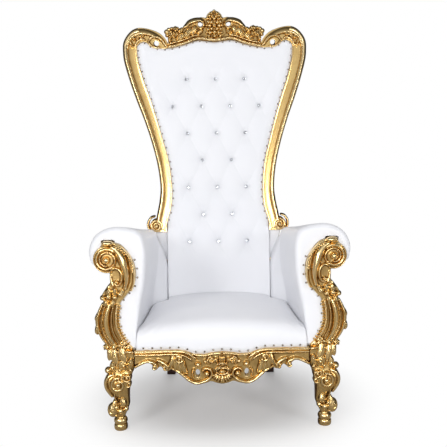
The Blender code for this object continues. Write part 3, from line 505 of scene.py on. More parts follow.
def front_leg_bodies():
    """Leg, turned pad, broad outer curve, knee scrolls, shield leaves, cuff and round toe."""
    bodies = [leg_body(), turned_foot()]

    def run(rows, lift, sink=28, **more):
        bodies.append(stroke(rows, lift, sink=sink, **more))

    knee = (413, 208)
    run(((424, 250, 6, 12), (447, 243, 8, 17), (461, 222, 9, 19), (461, 196, 8.5, 17),
         (450, 172, 7, 13), (438, 152, 4, 8)), 2)
    run(winding(knee, (29, 15), -400, (8, 5.5), (15, 14), 110), 11)
    bodies.append(ball(*knee, 18, 11.5, out=14))
    # smaller scrolls on the inner side
    run(winding((377, 234), (17, 8), -400, (6, 4.5), (14, 14), 60), 8)
    bodies.append(ball(377, 234, 12, 6.5, out=12))
    run(winding((375, 205), (12, 6), -360, (5, 4), (10, 11), 60), 4)
    # broad leaves that rise from the knee, with beads at their foot
    for foot, tip, half, bend in (
        ((402, 252), (396, 306), 19, 0.05), ((428, 252), (432, 300), 14, -0.06),
        ((378, 262), (362, 312), 13, 0.10),
    ):
        bodies.append(leaf(foot, tip, half, 12, bend, 6, 1, 2, 18))
    run(((352, 334, 5, 6), (366, 337, 5, 8), (384, 339, 4, 6)), 0, round_ends=(False, True))
    bodies += [
        ball(453, 264, -2, 13.5, 13.5, 18), ball(389, 285, 8, 9, out=13),
        ball(404, 268, 8, 8, out=13), ball(434, 276, 4, 9, out=13), ball(364, 264, 2, 8, out=12),
    ]
    # shin: smooth, with one slim rib; cuff, toe and beads below it
    run(((426, 182, 3, 8), (430, 156, 3.5, 9), (421, 128, 3, 8)), 2)
    bodies.append(leaf((404, 146), (396, 112), 15, 11, 0.0, 6, 1, -2, 26))
    bodies.append(leaf((424, 140), (444, 118), 11, 10, -0.15, 5, 1, -3, 26))
    bodies.append(ball(440, 97, -6, 23, 31, 24))
    run(winding((441, 97), (15, 7), -300, (4, 3), (20, 22), 140), -3, 16)
    bodies += [
        ball(409, 93, -2, 14, 13, 16), ball(388, 100, -8, 11, 12, 13), ball(423, 111, 0, 9, out=14),
    ]
    return bodies + leg_side_bodies()


def leg_side_bodies():
    """Scroll, bead and leaves on the outer side of the leg, drawn as (depth, height).

    Each body is turned a quarter, and its height is added to the leg's outer edge.
    """
    drawn = [
        stroke(winding((34, 208), (26, 10), 420, (6, 4), (8, 9), 60), 0, sink=20),
        ball(34, 208, 6, 8, out=8),
        leaf((40, 238), (34, 322), 15, 9, 0.0, 4, 4, -8, 12),
        leaf((52, 240), (66, 300), 11, 8, -0.1, 4, 3, -8, 12),
        leaf((24, 240), (14, 300), 10, 8, 0.1, 4, 3, -8, 12),
        leaf((38, 178), (36, 122), 15, 8, 0.0, 2, 4, -10, 12),
    ]
    turned = []
    for points, faces in drawn:
        z, outer = np.array(LEG_STATIONS)[::-1, [0, 2]].T
        reach = np.interp(points[:, 1], z, outer)
        turned.append((np.stack([reach - 2 + points[:, 2], points[:, 1], -points[:, 0]], 1), faces))
    return turned


POST_INNER = (
    (411, 773), (387, 764), (362, 736), (342, 703), (333, 666), (334, 627), (346, 593),
    (362, 575), (380, 553), (396, 534), (403, 500), (405, 460), (400, 428), (389, 400),
    (373, 372), (352, 350),
)
POST_OUTER = (
    (440, 341), (468, 350), (462, 380), (483, 409), (495, 439), (497, 465), (490, 482),
    (474, 514), (456, 540), (470, 559), (450, 594), (434, 613), (433, 655),
)
VOLUTE = (442.0, 708.0)
POST_CAP = ((461, 764), (460, 774), (452, 781), (424, 781), (413, 775))
POCKET_CAP = ((462, 764), (463, 779), (457, 783), (418, 783), (411, 779))


def arm_post_bodies():
    """S-shaped post: scroll, swelling band, neck scroll, leaf collar, flutes and flowers."""
    side = spline(POST_OUTER, 5)[:, :2].tolist()
    inner = spline(POST_INNER, 5)[:, :2].tolist()
    outline = [*side, *arc(*VOLUTE, 53, -85, 62, 28), *POST_CAP, *inner, (351, 341)]
    outline = [(a, max(b, 340.6)) for a, b in outline]
    bodies = [slab(outline, -POST_DEPTH, -5, 5)]
    face = -6

    def run(rows, profile=ROUND):
        bodies.append(stroke(rows, face, profile))

    run(winding(VOLUTE, (44, 23), -600, (7.5, 3.6), (14, 16), 140))
    run(winding(VOLUTE, (50.5, 50.5), -235, (3, 3), (6, 6), 120))
    bodies.append(ball(*VOLUTE, 2, 15, out=20))
    run(((430, 759, 7, 10), (406, 748, 13, 18), (387, 722, 19, 25), (377, 695, 19, 28),
         (368, 660, 15.5, 27), (367, 626, 12, 24), (376, 588, 8, 15)), BROAD)
    run(((408, 765, 4, 8), (384, 752, 4.5, 10), (358, 724, 5, 12), (343, 690, 5, 13),
         (338, 650, 5, 13), (342, 612, 5, 12), (354, 580, 5, 10)))
    run(((430, 662, 4, 9), (412, 674, 5, 13), (394, 668, 6, 16), (385, 648, 6.5, 17),
         (387, 624, 6, 17), (398, 608, 5.5, 16), (411, 610, 5, 14), (415, 622, 4, 12)))
    bodies.append(ball(405, 620, 2, 7, out=13))
    run(((429, 648, 4, 6), (426, 622, 6, 8), (418, 600, 6, 10)))
    run(((414, 771, 8, 15), (438, 773, 9.5, 18), (460, 771, 8, 15)))
    # beads between the band and its rim
    for a, b in spline(((402, 757), (376, 741), (354, 716), (345, 690), (343, 660)), 11)[:, :2]:
        bodies.append(ball(a, b, face + 9, 4.6, out=7))
    # collar: broad lobes round a bead
    for a, b, r in ((463, 558, 11), (440, 562, 12), (416, 560, 11), (394, 572, 11)):
        bodies.append(ball(a, b, face + 3, r, out=17))
    for foot, tip, half, bend in (
        ((446, 556), (440, 596), 13, 0.08), ((420, 558), (412, 598), 12, 0.0),
        ((396, 566), (386, 594), 10, 0.1), ((448, 552), (456, 522), 12, 0.0),
        ((424, 552), (428, 520), 11, 0.0),
    ):
        bodies.append(leaf(foot, tip, half, 15, bend, 6, 1, face))
    # flutes of the lower curve, from the outer rim to the inner one
    for rows in (
        ((464, 536, 4, 9), (480, 500, 6, 13), (487, 462, 6.5, 14), (484, 430, 6.5, 14),
         (472, 398, 6, 13), (450, 364, 5, 9)),
        ((450, 538, 3, 9), (465, 497, 3.6, 12), (470, 458, 3.8, 12), (466, 424, 3.8, 12),
         (452, 392, 3.6, 11), (430, 360, 3, 8)),
        ((434, 538, 8, 14), (449, 494, 12, 20), (453, 454, 13, 21), (446, 414, 12, 20),
         (428, 378, 9, 16), (410, 356, 5, 10)),
        ((419, 535, 3, 10), (430, 492, 3.6, 14), (432, 452, 3.8, 14), (424, 414, 3.8, 14),
         (406, 378, 3.2, 10)),
        ((408, 532, 4.5, 10), (414, 490, 5.5, 14), (415, 452, 5.5, 14), (408, 420, 5.5, 14),
         (394, 392, 5, 12), (376, 366, 4, 9)),
    ):
        run(rows)
    # two lobes on the outer rim
    for foot, tip in (((476, 500), (490, 462)), ((484, 452), (488, 410))):
        bodies.append(leaf(foot, tip, 9, 17, 0.12, 4, 1, face))
    beads = ((396, 522), (402, 486), (402, 452), (396, 424), (382, 396), (366, 374))
    for a, b in spline(beads, 12)[:, :2]:
        bodies.append(ball(a, b, face + 1, 4.4, out=7))
    # flower cluster at the foot
    bodies += flower(393, 364, 18, face + 4) + flower(458, 357, 13, face + 2, turn=0.4)
    bodies += [ball(426, 360, face + 6, 11, out=15), ball(370, 355, face + 2, 9, out=11)]
    run(((372, 368, 4, 9), (362, 356, 5, 10), (352, 347, 5, 9)))
    # leaves that hang from the post over the top of the leg
    for foot, tip, half, bend in (
        ((398, 356), (380, 298), 16, 0.08), ((430, 354), (414, 290), 16, 0.06),
        ((446, 352), (446, 306), 11, -0.05),
    ):
        bodies.append(leaf(foot, tip, half, 9, bend, 5, 1, 5, 6))
    return bodies + post_side_bodies()


def post_side_bodies():
    """Two slim ribs over the deep scroll: a small ellipse carried round part of a turn."""
    bodies = []
    for depth in (-18, -58):
        turn = np.radians(np.linspace(-80, 62, 40))
        bead = np.linspace(0, 2 * math.pi, 13)[None, :-1]
        r = 52.0 + 2.2 * np.cos(bead)
        grid = np.stack([
            VOLUTE[0] + r * np.cos(turn)[:, None], VOLUTE[1] + r * np.sin(turn)[:, None],
            depth + 3.5 * np.sin(bead) * np.ones((40, 1)),
        ], -1)
        bodies.append(skin(grid))
    return bodies


APRON_TOP = (
    (346, 340), (285, 340), (171, 340), (140, 333), (110, 322), (73, 320), (36, 327), (0, 330),
)
APRON_BOTTOM = (
    (0, 193), (20, 196), (45, 204), (64, 198), (91, 193), (112, 198), (130, 207), (152, 224),
    (174, 245), (198, 258), (214, 252), (230, 256), (243, 270), (256, 263), (268, 265),
    (280, 279), (298, 287), (322, 278), (346, 262),
)


def apron_bodies():
    """Front rail: mouldings, leaf clusters, C scrolls, shell and eye in the middle."""
    stretch = APRON_HALF / 346.0
    top = spline(np.array(APRON_TOP) * [stretch, 1], 6)[:, :2]
    low = spline(APRON_BOTTOM, 4)[:, :2] * [stretch, 1]
    top, low = np.vstack([top, (-3, 330)])[::-1], np.vstack([(-3, 193), low])
    face = -9
    turn = np.linspace(0, 2 * math.pi, 33)[:-1]
    hole = [(98 + 9 * math.cos(t), 239 + 17 * math.sin(t)) for t in turn]
    half = pierced(top, low, hole, -APRON_DEPTH, face)
    bodies = []

    def run(rows):
        bodies.append(stroke(rows, face))

    # top mouldings that dip towards the middle
    joined = (False, True)
    bodies.append(stroke((
        (348.4, 334, 5, 13), (260, 334, 5, 13), (176, 334, 5, 13), (142, 327, 5, 13),
        (112, 308, 5, 12), (100, 298, 3, 9),
    ), face, round_ends=joined))
    bodies.append(stroke((
        (348.4, 321, 4.5, 9), (260, 321, 4.5, 9), (182, 321, 4.5, 9), (148, 313, 4.5, 9),
        (124, 297, 3, 8), (116, 288, 2.5, 6),
    ), face, round_ends=joined))
    run(((122, 323, 3, 9), (100, 317, 4, 11), (72, 315, 5, 12), (36, 321, 5, 12), (0, 324, 5, 12)))
    # lower roll and its two curled lobes
    bodies.append(stroke((
        (348.4, 271, 6, 12), (322, 286, 7, 13), (300, 294, 7.5, 14), (280, 292, 7.5, 15),
        (264, 282, 7, 15), (261, 268, 6, 14), (271, 261, 5, 13), (279, 268, 4, 12),
    ), face, round_ends=joined))
    bodies.append(ball(271, 272, face + 4, 7, out=9))
    run(((262, 300, 4, 9), (246, 294, 7, 12), (229, 284, 8, 14), (219, 270, 7.5, 14),
         (225, 258, 6, 13), (236, 261, 4.5, 12)))
    bodies.append(ball(232, 270, face + 4, 6.5, out=9))
    # leaf cluster round a scroll with a bead
    for foot, tip, width, bend in (
        ((192, 320), (214, 272), 13, -0.14), ((184, 316), (190, 256), 14, -0.08),
        ((172, 312), (164, 244), 15, 0.05), ((160, 312), (138, 238), 14, 0.12),
    ):
        bodies.append(leaf(foot, tip, width, 13, bend, 6, 1, face))
    run(winding((170, 304), (17, 8), 400, (6, 4.5), (14, 15), 200))
    bodies.append(ball(170, 304, face + 10, 7.5, out=13))
    # big C scroll that winds round its bead, and a bead over the hole
    run(((202, 262, 4, 8), (178, 251, 6, 11), (156, 234, 7, 13), (131, 213, 7.5, 15),
         (104, 202, 8, 16), (79, 206, 8, 17), (55, 218, 7, 16), (42, 237, 6.5, 16),
         (48, 256, 6, 16), (64, 262, 5.5, 15), (77, 254, 5, 14), (79, 243, 4, 13)))
    bodies.append(ball(62, 241, face + 8, 11, out=15))
    run(((118, 222, 4, 9), (119, 242, 5, 12), (112, 262, 5, 12)))
    bodies.append(ball(96, 279, face + 6, 12.5, 11, 15))
    bodies.append(ball(67, 290, face + 4, 8, out=11))
    # side curls of the shell and its rays
    run(winding((41, 291), (12, 5), -420, (4, 3), (11, 13), 200))
    bodies.append(ball(41, 291, face + 9, 5, out=10))
    run(((50, 276, 3.5, 9), (58, 288, 4, 10), (54, 304, 4, 10), (40, 309, 3.5, 9)))
    for angle in np.radians([-82, -62, -43, -25, -8]):
        tip = (41 * math.cos(angle), 236 + 42 * math.sin(angle))
        root = (20 * math.cos(angle), 240 + 10 * math.sin(angle))
        halfway = ((tip[0] + root[0]) / 2, (tip[1] + root[1]) / 2)
        bodies.append(stroke(((*root, 3, 11), (*halfway, 4.6, 15), (*tip, 4.4, 11)), face))
    for a, b in ((9, 312), (25, 306)):
        bodies.append(leaf((a * 0.8, 282), (a, b), 5.5, 11, 0, 4, 1, face))
    for angle in np.radians([20, 44, 68]):
        at = (28 * math.cos(angle), 252 + 17 * math.sin(angle))
        bodies.append(ball(*at, face + 7, 5, out=9))
    # eye and its ring, on the middle line
    middle = [
        ball(0, 249, face + 6, 14, 7.5, 15), leaf((0, 282), (0, 314), 5.5, 11, 0, 4, 1, face),
    ]
    turn = np.linspace(0, 2 * math.pi, 25)
    ring = [(24 * math.cos(t), 249 + 13 * math.sin(t), 3.4, 13) for t in turn]
    middle.append(stroke(ring, face, round_ends=(False, False)))
    middle.append(stroke(((-24, 276, 3, 9), (0, 280, 4, 11), (24, 276, 3, 9)), face))
    middle.append(stroke(((0, 232, 2.5, 12), (0, 215, 4, 15), (0, 196, 3, 10)), face))
    return both(half + bodies) + middle


def pierced(top, low, hole, rear, front, rise=0.0, trim=0.0):
    """Slab with a hole between an upper and a lower edge, as two bodies that meet beside it.

    Both edges run with a. The slab is cut along the upright through the hole's middle, and
    each side follows its own half of the rim; at the rear the rim lies higher by rise.
    """
    top, low, hole = (np.array(v, float) for v in (top, low, hole))
    split = hole[:, 0].mean()
    ceiling = np.interp(split, top[:, 0], top[:, 1])
    floor = np.interp(split, low[:, 0], low[:, 1])
    bodies = []
    for sign in (1, -1):
        upper = top[(top[:, 0] - split) * sign > 0][::sign]
        lower = low[(low[:, 0] - split) * sign > 0][::-sign]
        rim = hole[(hole[:, 0] - split) * sign >= -0.01]
        rim = rim[np.argsort(rim[:, 1])]
        seam = split - 2.5 * sign
        ends = [[(seam, rim[0, 1] - 1)], [(seam, rim[-1, 1] + 1)]]
        rings = []
        for d, up in ((rear, rise), (front, 0.0)):
            lift = np.array([0.0, up])
            edge = np.vstack([ends[0] + lift, rim + lift, ends[1] + lift])
            shape = np.vstack([[(seam, floor)], edge, [(seam, ceiling)], upper, lower])
            rings.append(np.c_[inset(shape, trim), np.full(len(shape), d)])
        bodies.append(skin(np.stack(rings), flat_ends=True))
    return bodies


# Outer and inner edge of the back frame's side, from the arm up and over the shoulder
STILE = (
    ((302, 752), (253, 724)), ((292, 806), (241, 781)), ((279, 872), (223, 848)),
    ((274, 939), (219, 938)), ((286, 1040), (231, 1050)), ((311, 1145), (256, 1149)),
    ((344, 1250), (285, 1255)), ((381, 1350), (314, 1351)), ((412, 1443), (344, 1437)),
    ((436, 1530), (368, 1526)), ((442, 1580), (375, 1585)), ((440, 1623), (374, 1607)),
    ((424, 1656), (362, 1621)), ((400, 1682), (342, 1628)), ((371, 1695), (324, 1622)),
    ((337, 1694), (306, 1608)), ((300, 1685), (286, 1599)), ((263, 1668), (258, 1595)),
    ((240, 1646), (240, 1594)), ((226.5, 1626), (226.5, 1595.5)),
)
# Share of the width from the outer edge, and height over the sheet
STILE_SECTION = (
    (0.0, 2), (0.0, 9), (0.03, 17), (0.08, 23), (0.15, 27.5), (0.22, 29), (0.29, 27), (0.345, 22),
    (0.375, 16.5), (0.40, 13.6), (0.43, 12.4), (0.48, 11.6), (0.56, 10.9), (0.66, 10.4), (0.76, 10.3),
    (0.86, 10.4), (0.93, 10.9), (0.965, 12.2), (0.985, 12.0), (1.0, 9), (1.0, 0),
)


def stile_sweep(first, last):
    """Swept side of the back frame between two stations, with its round and its cove.

    Outer and inner edge run on cubics; across, the section's points lie at shares of the
    width, and the rear edges are rounded.
    """
    rows = spline([(*o, *i) for o, i in STILE[first:last]], 5)
    outer, inner = rows[:, None, :2], rows[:, None, 2:]
    section = np.array(STILE_SECTION)
    rear = np.array([(1.0, -26), (0.97, -31), (0.90, -33), (0.10, -33), (0.03, -31), (0.0, -26)])
    section = np.vstack([section, rear])
    share = section[None, :, :1]
    edge = outer + (inner - outer) * share
    height = np.broadcast_to(section[None, :, 1:], (*edge.shape[:2], 1))
    return skin(np.concatenate([edge, height], 2), flat_ends=True)


def back_frame_bodies():
    """Pierced shoulder, lower scroll and plain foot of the back frame's right side."""
    top = spline([o for o, _ in STILE[:10:-1]], 5)[:, :2]
    low = spline([i for _, i in STILE[:10:-1]], 5)[:, :2]
    bodies = pierced(top, low, arc(281, 1619, 13, 0, 345, 24), -32, 11, rise=8)
    face = 9

    def run(rows, lift=face, profile=ROUND):
        bodies.append(stroke(rows, lift, profile, sink=20))

    # the outer round broadens over the top, leans outwards and dives into the S scroll
    run(((425, 1590, 11, 17), (422, 1626, 14, 18), (407, 1652, 15.5, 19), (385, 1668, 16, 19),
         (354, 1676, 16, 18), (322, 1672, 15, 17), (290, 1660, 13, 16), (262, 1643, 10, 14),
         (244, 1623, 8, 12), (236, 1606, 5, 9)), face, LEANING)
    run(((316, 1630, 4, 12), (306, 1645, 6, 16), (286, 1650, 7, 18), (264, 1643, 7.5, 18),
         (249, 1628, 7, 17), (237, 1611, 6, 14), (227, 1601, 5, 10)))
    run(((322, 1636, 4, 10), (313, 1616, 6, 14), (298, 1604, 6.5, 13), (280, 1599, 5.5, 12),
         (260, 1600, 4.5, 10)))
    run(((386, 1598, 5, 9), (374, 1626, 6, 12), (352, 1641, 6, 12), (332, 1636, 5, 11)))
    for foot, tip, half, bend in (
        ((396, 1596), (418, 1640), 9, 0.1), ((382, 1632), (396, 1660), 9, 0.0),
        ((352, 1646), (338, 1672), 10, -0.1),
    ):
        bodies.append(leaf(foot, tip, half, 15, bend, 5, 1, face + 3))
    bodies += flower(366, 1656, 11, face + 8)
    # lower scroll, in front of the round, with a wider outer coil
    disc = arc(295, 753, 30.5, 0, 350, 40)
    bodies.append(slab(disc, -32, 27, 5))
    run(winding((295, 753), (26, 10), -470, (5.5, 4), (11, 13), 100), 24)
    bodies.append(ball(295, 753, 34, 9, out=10))
    run(((300, 796, 5, 14), (320, 790, 6, 18), (333, 772, 6, 19), (336, 752, 6, 19),
         (329, 733, 5.5, 17), (315, 723, 4, 12)), 4)
    foot = [(245.5, RAIL_TOP), (295.5, RAIL_TOP), (295.5, 760), (245.5, 760)]
    bodies.append(slab(foot, -32.5, -6, 3))
    return bodies


CREST_TOP = (
    (225.8, 1640), (216, 1679), (202, 1699), (185, 1704),
    (172, 1694), (154, 1688), (134, 1706), (120, 1730), (96, 1741), (62, 1745),
    (42, 1742), (36, 1756), (22, 1770), (0, 1778),
)
CREST_BOTTOM = (
    (0, 1622), (38, 1627), (74, 1632), (98, 1628), (142, 1612), (194, 1600), (225.8, 1595.5),
)


def crest_bodies():
    """Crest: finial, bead clusters, pierced C scrolls, flowers and lower moulding."""
    top = [(-2.5, 1778), *CREST_TOP[::-1]]
    low = [(-2.5, 1622), *CREST_BOTTOM]
    bodies = pierced(top, low, arc(68, 1709, 10, 0, 345, 24), -31, 8, rise=7, trim=1.5)
    face = 8

    def run(rows, profile=ROUND):
        bodies.append(stroke(rows, face, profile, sink=16))

    # C scroll round the hole: it leans outwards, then narrows to a curl
    run(((150, 1691, 6, 12), (136, 1704, 9, 16), (118, 1720, 12, 18), (93, 1728, 13, 19),
         (68, 1730, 11, 18), (53, 1719, 7.5, 18), (50, 1702, 6, 17), (58, 1690, 5.5, 16),
         (72, 1687, 5, 15), (82, 1694, 4.5, 13)), LEANING)
    # lower moulding with soft swellings, and a fillet over it
    path = spline((
        (229, 1601), (194, 1607), (146, 1619), (100, 1636), (66, 1641), (32, 1635), (0, 1631),
    ), 12)
    run([(a, b, 6.2 + 1.4 * (k % 2), 17 + 3 * (k % 2)) for k, (a, b) in enumerate(path)])
    run(((228, 1616, 3, 10), (194, 1622, 3.5, 11), (148, 1634, 3.5, 12), (104, 1651, 3.5, 12),
         (70, 1656, 3, 10)))
    # flowers and leaves of the outer end
    for a, b, r, t in ((207, 1660, 20, 0.2), (185, 1687, 15, 0.0)):
        bodies += flower(a, b, r, face + 4, turn=t, height=0.8)
    for a, b, r in ((231, 1674, 12), (220, 1685, 9.5), (229, 1657, 9), (206, 1690, 8), (219, 1670, 9)):
        bodies.append(ball(a, b, face + 2, r, out=15))
    for foot, tip, half, bend in (
        ((188, 1636), (148, 1668), 16, 0.12), ((170, 1660), (150, 1692), 11, -0.1),
        ((148, 1646), (116, 1694), 17, 0.10), ((112, 1656), (92, 1704), 15, 0.05),
        ((84, 1660), (56, 1682), 11, 0.0), ((212, 1622), (224, 1648), 9, 0.1),
    ):
        bodies.append(leaf(foot, tip, half, 18, bend, 7, 1, face))
    # mound of beads over a leaf, and the bead cluster below it
    for a, b, r in (
        (12, 1760, 7.5), (23, 1749, 8), (9, 1745, 8), (34, 1735, 7.5), (20, 1733, 8),
        (29, 1718, 9), (13, 1716, 9), (23, 1700, 9.5), (38, 1702, 6.5), (13, 1685, 8.5),
        (30, 1683, 8.5),
        (20, 1667, 9.5), (36, 1668, 7), (27, 1652, 7),
    ):
        bodies.append(ball(a, b, face + 8, r, out=r + 6))
    middle = []
    for b, r in ((1770, 7.5), (1733, 9), (1701, 10), (1669, 10), (1651, 8.5)):
        middle.append(ball(0, b, face + 10, r, out=r + 7))
    middle.append(stroke((
        (-34, 1646, 4, 14), (-18, 1637, 6.5, 19), (0, 1633, 7.5, 21), (18, 1637, 6.5, 19),
        (34, 1646, 4, 14),
    ), face))
    for x in (-1, 1):
        middle.append(leaf((x * 4, 1646), (x * 26, 1640), 7, 15, 0, 5, 2, face))
    return both(bodies) + middle


# Upholstery

def opening_half_width(z):
    """Half width of the back's opening at a height: the frame's inner edge, straight below."""
    side = [(244, 340), (244, 757)] + [i for _, i in STILE[1:12]]
    rows = spline(side[2:], 6)
    zs = np.r_[340, 757, rows[:, 1]]
    xs = np.r_[244, 244, rows[:, 0]]
    order = np.argsort(zs)
    return np.interp(z, zs[order], xs[order])


def opening_top(x):
    """Height of the opening's upper edge over a distance from the middle."""
    edge = list(CREST_BOTTOM) + [i for _, i in STILE[18:10:-1]]
    edge = np.array(edge, float)
    return np.interp(np.abs(x), edge[:, 0], edge[:, 1])


def pleats(a, b):
    """How deep a point lies in the slanting pleats, from 0 on a pillow to 1 in a pleat.

    p and q count the two families of pleats; the depth is one less the product of
    |sin(pi p)| and |sin(pi q)| to a low power. Past the outer buttons the cloth is plain.
    """
    up = (b - TOP_BUTTON_Z) / (2 * PITCH_Z)
    p = a / PITCH_X + up
    q = a / PITCH_X - up
    deep = 1 - (np.abs(np.sin(np.pi * p)) * np.abs(np.sin(np.pi * q))) ** 0.42
    low = TOP_BUTTON_Z - (BUTTON_ROWS - 1) * PITCH_Z
    beyond = np.clip(np.maximum(b - TOP_BUTTON_Z, low - b) / (0.9 * PITCH_Z), 0, 1)
    return deep * (1 - beyond * beyond * (3 - 2 * beyond))


def pad_height(a, b, rim, depth):
    """Height of the buttoned back over the sheet, at a distance from its rim.

    It rises from the rim over a quarter circle. Each button draws it down by a bell with
    a narrow core; the pleats are deepest by the buttons, and a short upright fold runs
    through each of them.
    """
    share = np.clip(rim / 44, 0, 1)
    swell = np.sqrt(np.clip(1 - (1 - share) ** 2, 0, 1))
    near, fold, bell = 0.0, 0.0, 0.0
    for k, (x, z) in enumerate(button_spots()):
        far = (a - x) ** 2 + (b - z) ** 2
        near = near + np.exp(-far / 2400)
        bell = bell + 0.60 * np.exp(-far / 190) + 0.40 * np.exp(-far / 1500)
        sway = 5 * math.sin(2.4 * k) * (b - z) / 40
        fold = fold + np.exp(-((a - x - sway) / 4.2) ** 2 - ((b - z) / 30) ** 2)
    deep = pleats(a, b) * (0.10 + 0.34 * np.minimum(near, 1))
    low = np.minimum(deep + bell * (1 - deep), 1)
    d = 8 + depth * (1 - low) * swell - 1.3 * fold * swell
    d = d + 1.3 * sheet_noise(a, b, 40, 3) * swell
    pull = np.exp(-((rim - 14) / 9) ** 2)
    return d + 0.7 * pull * np.sin(b / 5.6 + 2 * np.sin(b / 41))


def button_spots():
    """Places of the buttons on the sheet: staggered rows from the top."""
    spots = []
    for row in range(BUTTON_ROWS):
        if row % 2 == 0:
            places = (-1.0, 0.0, 1.0)
        elif row == 1:
            places = (-1.5, -0.5, 0.5, 1.5)
        else:
            places = (-0.5, 0.5)
        spots += [(place * PITCH_X, TOP_BUTTON_Z - row * PITCH_Z) for place in places]
    return spots


def sheet_noise(a, b, scale, seed):
    """Soft unevenness of stuffing: a sum of slanted sine waves, from -1 to 1."""
    rng = np.random.default_rng(seed)
    total = np.zeros(np.broadcast(a, b).shape)
    for _ in range(7):
        angle, phase = rng.uniform(0, math.pi), rng.uniform(0, 6.28)
        pitch = scale * rng.uniform(0.6, 1.6)
        total = total + np.sin((a * math.cos(angle) + b * math.sin(angle)) / pitch + phase)
    return total / 7


OPENING_FOOT = RAIL_TOP + 0.4
OPENING_SHOULDER = 1607.0
BEND_FROM = 1350.0
ARM_LINE = 730.0


def opening_grid(columns, rows, gap, extra=0.0):
    """Grid over the opening: share u of the half width, height before bending, and the point.

    x is u times the half width less the gap; below the arm line it grows by extra. Near
    the top the rows bend to the crest's edge, with the square of the height.
    """
    u = np.linspace(-1, 1, columns)[None]
    v = np.linspace(0, 1, rows)[:, None]
    flat = OPENING_FOOT + (OPENING_SHOULDER - OPENING_FOOT) * v
    a = u * (opening_half_width(flat) - gap + extra * np.clip((ARM_LINE - flat) / 15, 0, 1))
    rise = np.clip((flat - BEND_FROM) / (OPENING_SHOULDER - BEND_FROM), 0, 1) ** 2
    return u, flat, a, flat + (opening_top(a) - gap - OPENING_SHOULDER) * rise


def back_pad_body(depth):
    """Buttoned pad: its front grid, a rim behind the frame's edge, and a flat rear.

    The height rises from the rim over a quarter circle. Between the arms the rim is nearly
    square, so the pad meets them.
    """
    u, flat, a, b = opening_grid(176, 250, 0.6, 2.4)
    side = (1 - np.abs(u)) * opening_half_width(flat)
    between_arms = 1 + 40 * np.clip((745 - flat) / 40, 0, 1)
    rim = np.minimum(side * between_arms, opening_top(a) - b)
    front = np.stack([a, b, pad_height(a, b, rim, depth)], -1)
    rear = np.stack([a * (1 - 0.0061 * (b < 735)), b, np.full_like(a, -9.6)], -1)
    return pillow(front, rear, 7)


def back_panel_body():
    """Outside back: a shallow crown that falls to its rim over a quarter circle."""
    u, flat, a, b = opening_grid(81, 121, 0.8)
    side = np.minimum((1 - np.abs(u)) * opening_half_width(flat), opening_top(a) - b)
    side = np.minimum(side, b - RAIL_TOP)
    share = np.clip(side / 30, 0, 1)
    swell = np.sqrt(np.clip(1 - (1 - share) ** 2, 0, 1))
    d = -24 - 8.0 * swell - 0.8 * sheet_noise(a, b, 80, 5) * swell
    rear = np.stack([a, b, d], -1)
    front = np.stack([a, b, np.full_like(a, -10.4)], -1)
    return pillow(rear, front, 8)


# Sections of the arm with the same number of points, inner side first: in front as
# (x, z), at the rear as (out from the pad, share of the arm's height)
ARM_FRONT = (
    (341, 340), (336, 420), (318, 520), (301, 600), (293, 680), (294, 762), (318, 810),
    (382, 830), (437, 828), (487, 802), (513, 758), (516, 716), (503, 680), (466, 650),
    (438, 624), (431, 520), (434, 420), (434, 340),
)
ARM_REAR = (
    (1.2, 0.0), (1.2, 0.215), (1.2, 0.43), (1.3, 0.59), (8, 0.70), (23, 0.825), (42, 0.915),
    (65, 0.972), (86, 0.995), (103, 0.972), (112, 0.905), (116, 0.845), (106, 0.78), (86, 0.73),
    (66, 0.67), (56, 0.43), (56, 0.215), (56, 0.0),
)
# Share of the depth, and how far the inner and the outer side have gone from front to rear
ARM_SHARES = (
    (0, 0, 0), (0.1, 0.02, 0.1), (0.38, 0.14, 0.38), (0.75, 0.27, 0.74), (0.87, 0.97, 0.87), (1, 1, 1),
)


def frame_facing_body():
    """Leather over the foot of the back frame, between its scroll and the arm's shoulder.

    Its lower edge is the arm's rear outline moved 5 mm behind the arm; its front edge is
    rounded.
    """
    inner, outer, top = 246.2, 301.0, 720.5
    shoulder = [(PAD_FOOT_HALF + o, RAIL_TOP + r * ARM_RISE) for o, r in ARM_REAR[3:8]]
    shoulder = inset(np.array(shoulder + [(340, 720), (246, 900)], float), -5.0)[:5]
    shoulder = shoulder[(shoulder[:, 0] > inner + 0.8) & (shoulder[:, 0] < outer - 2)]
    outline = [(inner, shoulder[0, 1] - 16), *shoulder, (outer, top), (inner, top)]
    return slab(outline, -5.6, 3.5, 7)


def arm_rings():
    """Front and rear section of the right arm with the same number of points."""
    rows = np.array([(PAD_FOOT_HALF + o, RAIL_TOP + r * ARM_RISE) for o, r in ARM_REAR])
    both_rows = spline(np.c_[ARM_FRONT, rows], 6)
    return both_rows[:, :2], both_rows[:, 2:]


def arm_width(z, depth):
    """Distance of the arm's inner side from the middle, at a height and a depth."""
    front, _ = arm_rings()
    count = len(front) // 3
    share = np.interp(depth, [s[0] for s in ARM_SHARES], [s[1] for s in ARM_SHARES])
    x_front = np.interp(z, front[:count, 1], front[:count, 0])
    return x_front + (PAD_FOOT_HALF + 1.2 - x_front) * share


def arm_front_depth(b):
    """Depth of the arm's front at a height: level with the seat low down, set back above."""
    share = np.clip((b - 400) / 150, 0, 1)
    return 8 + 8 * share * share * (3 - 2 * share)


